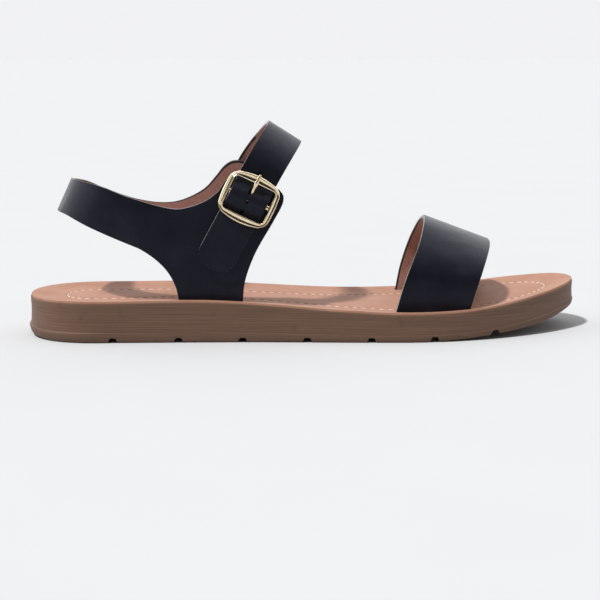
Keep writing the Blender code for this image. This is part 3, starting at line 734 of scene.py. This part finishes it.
def leather_wall(name, bm, way, creases):
    """A strap from its sheet: turned, creased, lined, and rounded at its cut edges."""
    turn_outward(bm, way)
    creased(bm, creases)
    wall = finished(name, bm, WALL_FINISHES)
    thicken(wall, WALL, lining=1, edge=2)
    soften(wall, EDGE_SOFT)
    return wall


QUARTER_CREASES = table(
    "at run reach width depth",
    ((82, -29, 44), (1, 0, 0.5), 20, 3.4, -0.30), ((80, -29, 37), (1, 0, 0.3), 18, 3.0, 0.30),
    ((62, -29, 50), (0.5, 0, 1), 12, 4.0, 0.28), ((54, -29, 54), (0.3, 0, 1), 10, 3.2, -0.20),
    ((100, -29, 47), (0.4, 0, 1), 14, 2.8, 0.30), ((84, -28, 28), (1, 0, -0.1), 16, 3.0, 0.22),
    ((80, 26, 45), (1, 0, 0.5), 22, 3.4, 0.28), ((62, 26, 50), (0.5, 0, 1), 12, 4.0, 0.24),
    ((17, -8, 62), (0.1, -0.1, 1), 9, 2.4, 0.16), ((17, 9, 62), (0.1, 0.1, 1), 9, 2.6, 0.18))
print("creases in the quarter:", len(QUARTER_CREASES))

# %% [markdown]
# ## The quarter
# The two halves share the back of the heel, so one grid runs from the inner front edge round the heel to the
# outer front edge. A modifier then gives the sheet its thickness, and a bevel rounds the two cut corners.

# %% Quarter piece
halves = {-1: quarter(-1), 1: quarter(1)}
UPPER_STEPS = (260, 56)
# on the inner half, the top edge and the lining strip just below it take the near-black painted shade
upper_bm = bent_grid(UPPER_STEPS, lambda u, v: halves[1 if u < 0.5 else -1](abs(2 * u - 1), v),
                     finish_at=lambda u, v: FAR_EDGE_SHADE if u < 0.5 and v > 0.98 else 0)
upper = leather_wall("quarter_leather", upper_bm, Vector((0, -1, 0)), QUARTER_CREASES)
dress(upper, "leather", "upper")

# %% [markdown]
# ## The vamp band
# A band over the toes, wider at its front edge and pulled forward on the inner side. Its two edges are curves
# in space, and leather pulled straight between two curves is a ruled surface, so the grid spans them evenly.

# %% Vamp piece
VAMP = table(
    "y rear rear_z front front_z",
    (-31.2, 161.8, 9.2, 195.0, 10.6), (-31.8, 162.8, 13.8, 195.8, 14.8),
    (-33.2, 165.0, 22.4, 197.6, 21.6), (-31.4, 168.6, 32.2, 200.4, 28.8),
    (-24.0, 173.4, 41.4, 203.8, 34.8), (-10.0, 177.4, 49.3, 207.6, 38.9),
    (6.0, 179.4, 51.0, 209.6, 39.7), (22.0, 178.8, 46.4, 210.6, 36.6), (33.0, 176.0, 36.0, 211.0, 29.8),
    (36.6, 172.8, 24.0, 210.8, 22.4), (36.4, 170.8, 14.0, 210.6, 16.4), (36.2, 170.2, 9.4, 210.4, 12.2))
VAMP_CREASES = table(
    "at run reach width depth",
    ((186, -30, 30), (1, 0.2, -0.1), 16, 2.6, 0.20), ((190, -18, 40), (1, 0.3, -0.3), 14, 3.2, -0.18),
    ((182, -32, 21), (1, 0, 0.1), 16, 3.0, -0.20), ((196, 20, 42), (1, -0.1, -0.3), 14, 3.6, 0.22))
vamp_rear, vamp_front = path(VAMP, ("rear", "y", "rear_z")), path(VAMP, ("front", "y", "front_z"))
# on the inner side, the rear edge and the lining strip beside it take the near-black painted shade
vamp_bm = bent_grid((200, 48), lambda u, v: vamp_rear(u).lerp(vamp_front(u), v),
                    finish_at=lambda u, v: FAR_EDGE_SHADE if u > 0.6 and v < 0.02 else 0)
vamp = leather_wall("vamp_leather", vamp_bm, Vector((0, 0, 1)), VAMP_CREASES)
dress(vamp, "leather", "vamp_band")

# %% [markdown]
# ## The ankle strap
# One strip of leather: sewn on outside the inner arm, over the instep, down the outer arm, through the buckle
# and on to its round end. A line in station and height gives its course, told by the distance down from the
# top of the instep, and a lift column tells how far it stands off the quarter. The grid follows that line.

# %% Strap tables
STRAP_WIDTH = 17.0
BUCKLE_STATION, BUCKLE_Z, BUCKLE_DOWN = 98.0, 62.6, 32.7
STRAP_TILT = math.radians(25.5)
STRAP_TILT_TOP = math.radians(32.5)
STRAP_BEND, STRAP_BEND_FROM = 4.4, 24.0
STRAP_DRIFT, STRAP_DRIFT_FROM = 0.05, 18.7
STRAP_REACH, STRAP_ROWS, STRAP_END_ROWS, STRAP_TIP = 120.0, 340, 22, 0.08
STRAP_END, STRAP_END_POWER = 7.4, 2.3
STRAP = table(
    "down side lift",
    (50.0, 1, 2.1), (36.0, 1, 2.1), (26.0, 1, 2.3), (20.5, 1, 2.6), (15.4, 1, -1.4), (10.0, 1, -9.0),
    (4.3, 1, -17.8), (2.1, -1, -24.0), (3.7, -1, -15.0), (8.8, -1, -5.2), (16.0, -1, 1.2),
    (22.0, -1, 2.6), (25.4, -1, 3.6), (27.6, -1, 5.2), (30.0, -1, 7.2), (32.7, -1, 8.0), (35.4, -1, 6.8),
    (38.0, -1, 4.9), (40.6, -1, 4.2), (44.0, -1, 4.0), (50.0, -1, 2.9), (58.0, -1, 2.2), (66.0, -1, 2.1))


def strap_line(down):
    """Station and height of the strap's middle line, this far down from the top of the instep."""
    above = BUCKLE_DOWN - down
    bend = STRAP_BEND * max(0.0, 1 - down / STRAP_BEND_FROM) ** 2
    bend -= STRAP_DRIFT * max(0.0, down - STRAP_DRIFT_FROM)
    return BUCKLE_STATION + above * math.sin(STRAP_TILT) + bend, BUCKLE_Z + above * math.cos(STRAP_TILT)


def strap_point(row):
    station, z = strap_line(row["down"])
    half = upper_width["outer" if row["side"] < 0 else "inner"](z)
    return dict(station=station, y=row["side"] * (half + row["lift"]), z=z, down=row["down"])


strap_centre = path([strap_point(row) for row in STRAP], ("station", "y", "z", "down"))


def strap_rows():
    """Shares of the strap's length for the grid's rows, close together where its ends round off."""
    end = [STRAP_END * (1 - math.cos(math.pi / 2 * k / STRAP_END_ROWS)) / STRAP_REACH
           for k in range(STRAP_END_ROWS)]
    between = [end[-1] + (1 - 2 * end[-1]) * k / STRAP_ROWS for k in range(1, STRAP_ROWS)]
    return end + between + [1 - share for share in end[::-1]]


rows_of_strap = strap_rows()


def on_strap(u, v):
    """A point of the strap's middle surface, from its sewn end to its free end and from edge to edge."""
    share = rows_of_strap[round(u * (len(rows_of_strap) - 1))]
    station, y, z, down = strap_centre(share)
    tilt = STRAP_TILT + (STRAP_TILT_TOP - STRAP_TILT) * (1 - smooth(down / STRAP_BEND_FROM))
    across = Vector((math.cos(tilt), 0, -math.sin(tilt)))
    left = min(share, 1 - share) * STRAP_REACH + STRAP_TIP
    half = STRAP_WIDTH / 2 * rounded_end(left, STRAP_END, STRAP_END_POWER)
    return Vector((station, y, z)) + across * half * (2 * v - 1)


print("the strap is", STRAP_WIDTH, "mm wide and crosses the buckle at a height of", BUCKLE_Z, "mm")

# %% [markdown]
# ## The buckle's own frame
# Everything on the buckle is easiest to lay out square to it: X across the strap, Y up along it, and Z out
# from the arm. One matrix then carries those sizes to their place on the shoe.

# %% Buckle frame and round tools
def buckle_place():
    step = 1.0
    rise = (upper_width["outer"](BUCKLE_Z + step) - upper_width["outer"](BUCKLE_Z - step)) / (2 * step)
    out = Vector((0, -1, -rise)).normalized()
    across = Vector((math.cos(STRAP_TILT), 0, -math.sin(STRAP_TILT)))
    across = (across - out * across.dot(out)).normalized()
    centre = Vector((BUCKLE_STATION, -upper_width["outer"](BUCKLE_Z), BUCKLE_Z))
    return Matrix.Translation(centre) @ Matrix((across, out.cross(across), out)).transposed().to_4x4()


on_arm = buckle_place()


def punch(name, up, half_long, radius, out=6.0):
    """A cutter for a hole in the strap at the buckle: a round or oblong drift."""
    bm = bmesh.new()
    bmesh.ops.create_cone(bm, cap_ends=True, segments=20, radius1=radius, radius2=radius, depth=14)
    for corner in bm.verts:
        corner.co.y += math.copysign(half_long, corner.co.y)
    bmesh.ops.transform(bm, matrix=on_arm @ Matrix.Translation((HOLE_ACROSS, up, out)), verts=bm.verts)
    return finished(name, bm, [])


print("the buckle's middle is at", [round(c * 1000, 1) for c in seated(on_arm.translation)], "mm")

# %% Strap piece
HOLES_UP = (-1.3, -6.0)
MARK_UP, MARK_OUT = 12.0, 9.3
HOLE_RADIUS, HOLE_ACROSS = 0.8, -0.5
SLOT_MIDDLE, SLOT_HALF, SLOT_RADIUS = 3.6, 0.7, 1.05
FAR_EDGE_SHADE_LONG, FAR_EDGE_SHADE_WIDE = 0.33, 0.05
STRAP_CREASES = table(
    "at run reach width depth",
    ((118, -8, 93), (1, 0, -0.6), 14, 2.2, 0.16), ((116, 6, 93), (1, 0, -0.6), 14, 2.6, 0.18),
    ((105, -31, 77), (1, 0, -0.5), 12, 2.4, 0.16))
# near the sewn end, one edge and the lining strip beside it take the near-black painted shade
strap_bm = bent_grid((len(rows_of_strap) - 1, 34), on_strap,
                     finish_at=lambda u, v: FAR_EDGE_SHADE if u < FAR_EDGE_SHADE_LONG and v < FAR_EDGE_SHADE_WIDE else 0)
strap = leather_wall("ankle_strap_leather", strap_bm, Vector((0, 0, 1)), STRAP_CREASES)
cutters = [punch("hole", up, 0.0, HOLE_RADIUS) for up in HOLES_UP]
cutters.append(punch("marked_hole", MARK_UP, 0.0, HOLE_RADIUS, MARK_OUT))
cutters.append(punch("prong_hole", SLOT_MIDDLE, SLOT_HALF, SLOT_RADIUS))
settle(strap, cutters)
dress(strap, "leather", "ankle_strap")

# %% [markdown]
# ## Slots in the footbed
# The feet of the quarter and the vamp go down through slots beside the footbed's edge. On the shoe they are
# punched before the cover is glued. Here a slightly thicker copy of each foot cuts its own slot.

# %% Cut the slots
FOOT_LOW, FOOT_HIGH, FOOT_PAST = 12.0, 24.0, 0.6
BAND_FOOT, BAND_PAST = 0.16, 0.5


def slot_cutter(name, steps, place):
    cutter = finished(name, bent_grid(steps, place), [])
    thicken(cutter, WALL + 2 * GAP)
    settle(cutter)
    return cutter


def quarter_foot(side):
    name = "outer" if side < 0 else "inner"
    rear, front = LOWER_EDGE[-1][name] - FOOT_PAST, FRONT_EDGE[0][name] + FOOT_PAST
    return lambda u, v: on_upper(rear + (front - rear) * u, FOOT_LOW + (FOOT_HIGH - FOOT_LOW) * v, side)


def vamp_foot(end):
    """The band's foot at one end, carried a little past its front and rear edges."""
    def read(u, v):
        share = BAND_FOOT * v if end == 0 else 1 - BAND_FOOT * v
        rear, front = vamp_rear(share), vamp_front(share)
        run = (front - rear).normalized() * BAND_PAST
        return (rear - run).lerp(front + run, u)
    return read


cutters = [slot_cutter("slot_%d" % k, (8, 6), place) for k, place in
           enumerate((quarter_foot(-1), quarter_foot(1), vamp_foot(0), vamp_foot(1)))]
settle(insole, cutters)
dress(insole, "insole", "insole")

# %% [markdown]
# ## Contour stitching
# A lockstitch shows as short pale threads that dive into pinholes at a fixed pitch. Each thread is a small
# ball drawn out along the line, and each pinhole a flat dark dot of painted shade, and they are joined in one
# mesh.

# %% Stitches
STITCH_PITCH, THREAD_LONG, THREAD_THICK, PINHOLE = 4.0, 2.7, 0.62, 0.85
THREAD_LIFT, PINHOLE_LIFT, PINHOLE_THICK = 0.12, 0.02, 0.07


def make_thread():
    """Bonded polyester thread: pale, with a slight twist to its gloss."""
    return two_toned("bonded polyester thread", {"Roughness": 0.5, "IOR": 1.5},
                     0.35, 2.0, "#D2B4A2", "#F1DDCF")[0]


def make_pinhole_shade():
    """A flat dark dot of painted shade for the inside of a needle hole."""
    return two_toned("needle hole painted shade", {"Roughness": 0.9}, 0.5, 2.0, "#4A2F25", "#6A4536")[0]


def stitch_points():
    """Points on the contour line, one pitch apart."""
    line = [on_insole(p, middle, stitch_inset(p.x)) for p, middle in zip(insole_rim, facing)]
    steps = [(b - a).length for a, b in zip(line, line[1:] + line[:1])]
    count = round(sum(steps) / STITCH_PITCH)
    pitch = sum(steps) / count
    placed, run = [], 0.0
    for p, step, after in zip(line, steps, line[1:] + line[:1]):
        while len(placed) < count and len(placed) * pitch < run + step:
            placed.append(p.lerp(after, (len(placed) * pitch - run) / step))
        run += step
    return placed


holes = stitch_points()
stitch_bm = bmesh.new()
for here, after in zip(holes, holes[1:] + holes[:1]):
    middle = (here + after) / 2
    turn = (after - here).to_track_quat("X", "Z").to_matrix().to_4x4()
    stretch = Matrix.Diagonal((THREAD_LONG / 2, THREAD_THICK / 2, THREAD_THICK / 2, 1))
    lifted = Matrix.Translation(middle + Vector((0, 0, THREAD_LIFT))) @ turn @ stretch
    bmesh.ops.create_uvsphere(stitch_bm, u_segments=8, v_segments=6, radius=1.0, matrix=lifted)
    # each pinhole is a flat dark dot of painted shade laid on the surface, not a cut hole
    flat = Matrix.Translation(here + Vector((0, 0, PINHOLE_LIFT)))
    flat = flat @ Matrix.Diagonal((PINHOLE / 2, PINHOLE / 2, PINHOLE_THICK, 1))
    made = bmesh.ops.create_uvsphere(stitch_bm, u_segments=8, v_segments=4, radius=1.0, matrix=flat)
    for face in {face for corner in made["verts"] for face in corner.link_faces}:
        face.material_index = 1
stitches = finished("contour_stitching", stitch_bm, [make_thread(), make_pinhole_shade()])
dress(stitches, "insole")
print("stitches:", len(holes))

# %% [markdown]
# ## Polished pale gold
# The buckle is cast zinc, polished and plated in pale gold. Plating gives a metal's full reflection with a
# warm tint, and polish leaves only faint waves, so the roughness is low and almost even.

# %% Buckle finish
def make_gold():
    """Zinc, die cast, polished and gold plated: a bright warm mirror with slight tumbling waves."""
    finish, shader, wave = two_toned("polished gold plate", {"Metallic": 1.0}, 2.4, 3.0, "#E6CFA6", "#F3E4C6")
    gloss = add(finish, "MapRange", {"Value": wave, "To Min": 0.08, "To Max": 0.18})
    join(finish, gloss.outputs[0], shader.inputs["Roughness"])
    press_in(finish, shader, (wave, 0.05, 0.3, False))
    return finish


gold = make_gold()
print("finish:", gold.name)

# %% [markdown]
# ## The buckle's frame
# A rounded window with broader top and bottom bars, domed, with a bright bead along both edges and a shallow
# hollow between them. Sweeping a profile along a rectangle gives even bars. Here the profile spans from the
# window to the outer edge, so the bars swell in the middle as the real ones do.

# %% Buckle frame piece
WINDOW_WIDTH, WINDOW_HIGH, WINDOW_CORNER = 19.0, 14.6, 1.6
SIDE_WIDTH, END_WIDTH, CORNER_WIDTH, OUTER_CORNER = 2.6, 3.8, 2.0, 3.4
FRAME_UNDER, FRAME_OVER, FRAME_SINK, FRAME_RISE = 5.6, 7.5, 2.3, 0.3
STRAIGHT_SHARE, ON_BAR = 0.35, 0.1
FRAME_SECTION = table(
    "share over under",
    (0.00, -1.30, 0.00), (0.00, -0.80, 0.00), (0.03, -0.45, 0.00), (0.09, -0.16, 0.00),
    (0.17, -0.02, 0.00), (0.26, -0.06, 0.00), (0.36, -0.24, 0.00), (0.48, -0.36, 0.00),
    (0.60, -0.30, 0.00), (0.71, -0.18, 0.00), (0.80, -0.14, 0.00), (0.88, -0.26, 0.00),
    (0.95, -0.60, 0.00), (0.99, -1.05, 0.00), (1.00, -1.50, 0.00), (0.98, None, 0.34),
    (0.90, None, 0.08), (0.60, None, 0.00), (0.20, None, 0.00), (0.03, None, 0.20))


def box_point(half_across, half_up, corner, share):
    """A point on a rectangle with round corners, from the middle of its +X side and anticlockwise."""
    quadrant = int(share * 4) % 4
    part = share * 4 % 1.0
    if quadrant % 2:
        part = 1 - part
    if part < STRAIGHT_SHARE:
        x, y = half_across, (half_up - corner) * part / STRAIGHT_SHARE
    elif part > 1 - STRAIGHT_SHARE:
        x, y = (half_across - corner) * (1 - part) / STRAIGHT_SHARE, half_up
    else:
        turn = math.pi / 2 * (part - STRAIGHT_SHARE) / (1 - 2 * STRAIGHT_SHARE)
        x, y = half_across - corner + corner * math.cos(turn), half_up - corner + corner * math.sin(turn)
    return Vector((-x if quadrant in (1, 2) else x, -y if quadrant in (2, 3) else y, 0))


def on_frame(u, v):
    """A point of the frame's skin: u runs round the window, v round the bar's section."""
    half_across, half_up = WINDOW_WIDTH / 2, WINDOW_HIGH / 2
    inner = box_point(half_across, half_up, WINDOW_CORNER, u % 1.0)
    outer = box_point(half_across + CORNER_WIDTH, half_up + CORNER_WIDTH, OUTER_CORNER, u % 1.0)
    on_side = max(0.0, 1 - (inner.y / half_up) ** 2) if abs(inner.x) > half_across - ON_BAR else 0.0
    on_end = max(0.0, 1 - (inner.x / half_across) ** 2) if abs(inner.y) > half_up - ON_BAR else 0.0
    outer += Vector((math.copysign(SIDE_WIDTH - CORNER_WIDTH, outer.x) * on_side,
                     math.copysign(END_WIDTH - CORNER_WIDTH, outer.y) * on_end, 0))
    row = FRAME_SECTION[round(v * len(FRAME_SECTION)) % len(FRAME_SECTION)]
    under, crest = FRAME_UNDER - FRAME_SINK * on_side, FRAME_OVER + FRAME_RISE * on_side
    out = under + row["under"] if row["over"] is None else crest + row["over"]
    return on_arm @ (inner.lerp(outer, row["share"]) + Vector((0, 0, out)))


frame_bm = bent_grid((160, len(FRAME_SECTION)), on_frame, closed=True)
buckle = finished("buckle_frame_gold", frame_bm, [gold], sharp=60)
smoother = buckle.modifiers.new("smooth section", "SUBSURF")
smoother.levels = smoother.render_levels = 1

# %% [markdown]
# ## Bar and prong
# Both are round wire. A rod is a circle carried along a line, so a grid rolled round the line makes it, and
# rows that shrink to a point close its ends with a dome.

# %% Rods
BAR_RADIUS, BAR_OUT, BAR_PAST = 1.1, 3.8, 1.0
PRONG_RADIUS, PRONG_TURN, PRONG_STEPS = 0.7, 250.0, 24
PRONG_ROOT, PRONG_TAPER = 1.12, 0.35
PRONG = table(
    "up out",
    (2.0, 6.2), (4.5, 7.2), (7.0, 8.3), (9.0, 8.7), (11.4, 8.4))
DOME, DOME_LONG = (0.0, 0.38, 0.71, 0.92), 0.7
KNUCKLE_AT, KNUCKLE_LONG, KNUCKLE_SWELL = 0.82, 0.05, 0.38


def rod(line, side, radius_at, sides=20):
    """A closed round rod along a line whose turns all lie square to the side direction."""
    count = len(line)
    stops = [(0, r) for r in DOME] + [(i, 1.0) for i in range(count)] + [(count - 1, r) for r in DOME[::-1]]

    def place(u, v):
        k = round(u * (len(stops) - 1))
        i, wide = stops[k]
        run = (line[min(i + 1, count - 1)] - line[max(i - 1, 0)]).normalized()
        radius = radius_at(i / (count - 1))
        reach = math.sqrt(max(0.0, 1 - wide * wide)) * radius * DOME_LONG
        centre = line[i] + run * (reach if k > len(stops) / 2 else -reach)
        turn = 2 * math.pi * v
        return on_arm @ (centre + (side * math.cos(turn) + run.cross(side) * math.sin(turn)) * radius * wide)
    return bent_grid((len(stops) - 1, sides), place, closed=True)


bar_reach = WINDOW_WIDTH / 2 + BAR_PAST
bar = finished("buckle_bar", rod([Vector((x * bar_reach, 0, BAR_OUT)) for x in (-1, -0.5, 0, 0.5, 1)],
                                 Vector((0, 1, 0)), lambda t: BAR_RADIUS), [gold])
bend = BAR_RADIUS + GAP + PRONG_RADIUS
hook = [math.radians(90 + PRONG_TURN * (1 - i / PRONG_STEPS)) for i in range(PRONG_STEPS + 1)]
prong_line = [Vector((0, bend * math.cos(a), BAR_OUT + bend * math.sin(a))) for a in hook]
prong_path = path([dict(up=0.0, out=BAR_OUT + bend)] + PRONG, ("up", "out"))
prong_line += [Vector((0, *prong_path(i / PRONG_STEPS))) for i in range(1, PRONG_STEPS + 1)]


def prong_radius(t):
    """The wire swells to a knuckle where it lies on the frame, and tapers past it."""
    knuckle = math.exp(-((t - KNUCKLE_AT) / KNUCKLE_LONG) ** 2)
    taper = smooth((t - KNUCKLE_AT) / (1 - KNUCKLE_AT))
    return PRONG_RADIUS * (PRONG_ROOT + KNUCKLE_SWELL * knuckle - PRONG_TAPER * taper)


prong = finished("buckle_prong_gold", rod(prong_line, Vector((1, 0, 0)), prong_radius), [gold])
dress(buckle, "buckle", "buckle_frame")
dress(bar, "buckle")
dress(prong, "buckle", "buckle_prong")

# %% [markdown]
# ## The chape
# A chape is the tab of leather that holds a buckle. It folds round the bar in two thin plies, with a slot in
# the fold for the prong. It lies behind the strap, so a folded sheet with its slot cut out is all it needs.

# %% Chape piece
CHAPE_WIDTH, CHAPE_LONG, CHAPE_SLOT, PLY = 14.0, 13.0, 2.4, 0.55
SLOT_FROM, SLOT_ABOVE = -2.2, 0.7


def chape_line():
    """The middle of the folded ply, in the buckle's own frame, from its lower end round the bar and back."""
    low = WALL / 2 + GAP + PLY / 2
    turn = BAR_RADIUS + GAP + PLY / 2 + 0.05
    rows = [dict(up=-CHAPE_LONG, out=low), dict(up=-7.0, out=low), dict(up=-2.5, out=low + 0.1)]
    rows += [dict(up=turn * math.cos(a), out=BAR_OUT + turn * math.sin(a))
             for a in (math.radians(d) for d in range(-75, 136, 30))]
    rows += [dict(up=-4.2, out=low + 1.5), dict(up=-7.0, out=low + PLY + 0.1),
             dict(up=-CHAPE_LONG, out=low + PLY + 0.08)]
    return path(rows, ("up", "out"))


fold = chape_line()
chape_bm = bent_grid((90, 28), lambda u, v: on_arm @ Vector(((v - 0.5) * CHAPE_WIDTH, *fold(u))))
to_buckle = on_arm.inverted()
slotted = []
for face in chape_bm.faces:
    middle = to_buckle @ face.calc_center_median()
    if abs(middle.x) < CHAPE_SLOT / 2 and middle.y > SLOT_FROM and middle.z > WALL / 2 + GAP + SLOT_ABOVE:
        slotted.append(face)
bmesh.ops.delete(chape_bm, geom=slotted, context="FACES")
turn_outward(chape_bm, on_arm.to_3x3() @ Vector((0, 0, 1)))
chape = finished("chape_leather", chape_bm, WALL_FINISHES)
thicken(chape, PLY - 0.05, lining=1, edge=2)
dress(chape, "leather", "buckle_chape")

# %% [markdown]
# ## Camera
# The photograph looks along the outer side from just above the footbed, with a long lens.
# The lens and distance were found by matching the sole's ends and the band's height.

# %% Camera
CAMERA_AWAY, CAMERA_UP, CAMERA_TURN = 0.700, math.radians(9.1), math.radians(-3.5)
LOOK_AT = Vector((-0.0028, -0.0032845, 0.0134))
FRAME_PIXELS, FOCAL_PIXELS, SENSOR = 600, 1526, 36.0
back = Vector((math.sin(CAMERA_TURN) * math.cos(CAMERA_UP),
               -math.cos(CAMERA_TURN) * math.cos(CAMERA_UP), math.sin(CAMERA_UP)))
view = bpy.data.cameras.new("camera")
view.sensor_width = SENSOR
view.lens = FOCAL_PIXELS * SENSOR / FRAME_PIXELS
camera = bpy.data.objects.new("camera", view)
camera.location = LOOK_AT + back * CAMERA_AWAY
camera.rotation_mode = "QUATERNION"
camera.rotation_quaternion = (-back).to_track_quat("-Z", "Y")
bpy.context.collection.objects.link(camera)
bpy.context.scene.camera = camera
print("lens", round(view.lens, 1), "mm")

# %% [markdown]
# ## Floor and light
# The shoe stands on pale matt paper. One lamp high on the left and a little toward the viewer throws
# shadows to the right, with edges a millimetre or two soft, and a bright surround fills them. The surround
# is dimmer on the viewer's side, as a room is, because black leather and polished metal show what stands in
# front of them.

# %% Floor
FLOOR_REACH = 60.0


def make_floor():
    """Matt studio paper: an even pale grey, with the faintest mottling."""
    return two_toned("matt studio paper", {"Roughness": 1.0, "Specular IOR Level": 0.0},
                     60, 2.0, "#CCCDCE", "#CDCECF")[0]


floor_bm = bmesh.new()
bmesh.ops.create_grid(floor_bm, x_segments=1, y_segments=1, size=FLOOR_REACH)
floor_mesh = bpy.data.meshes.new("floor")
floor_bm.to_mesh(floor_mesh)
floor_bm.free()
floor_mesh.materials.append(make_floor())
floor = bpy.data.objects.new("floor", floor_mesh)
bpy.context.collection.objects.link(floor)
print("floor:", floor_mesh.materials[0].name)

# %% Lamp and surround
KEY_FROM, KEY_STRENGTH, KEY_SPREAD = Vector((-0.47, -0.42, 1.0)), 3.15, math.radians(4.2)
SURROUND_SEEN, SURROUND_LIGHT, SURROUND_FRONT = 0.893, 0.84, 0.22
GLOSS_LIGHT, GLOSS_FRONT = 1.8, 0.04
SURROUND_TINT, VIEWER_SIDE = (0.985, 0.99, 1.0, 1.0), (0.0, -0.96, 0.26)

sun = bpy.data.lights.new("key", "SUN")
sun.energy = KEY_STRENGTH
sun.angle = KEY_SPREAD
key = bpy.data.objects.new("key", sun)
key.location = KEY_FROM
key.rotation_euler = (-KEY_FROM).to_track_quat("-Z", "Y").to_euler()
bpy.context.collection.objects.link(key)

surround = bpy.data.worlds.new("surround")
surround.use_nodes = True
backdrop = surround.node_tree.nodes["Background"]
backdrop.inputs["Color"].default_value = SURROUND_TINT
way = add(surround, "TexCoord").outputs["Generated"]
front = add(surround, "VectorMath", {0: way, 1: VIEWER_SIDE}, operation="DOT_PRODUCT")


def dimmed(start, end, light, dark):
    """The surround's light, which falls between two nearnesses to the viewer's side."""
    return add(surround, "MapRange", {"Value": front.outputs["Value"], "From Min": start, "From Max": end,
                                      "To Min": light, "To Max": dark},
               interpolation_type="SMOOTHSTEP").outputs[0]


rays = add(surround, "LightPath").outputs
lit = add(surround, "Mix", {0: rays["Is Glossy Ray"], 2: dimmed(0.05, 0.75, SURROUND_LIGHT, SURROUND_FRONT),
                               3: dimmed(0.10, 0.80, GLOSS_LIGHT, GLOSS_FRONT)})
strength = add(surround, "Mix", {0: rays["Is Camera Ray"], 2: lit.outputs[0], 3: SURROUND_SEEN})
join(surround, strength.outputs[0], backdrop.inputs["Strength"])
bpy.context.scene.world = surround
bpy.context.scene.view_settings.view_transform = "Standard"
print("key lamp", round(math.degrees(KEY_FROM.angle(Vector((0, 0, 1))))), "degrees from straight above")
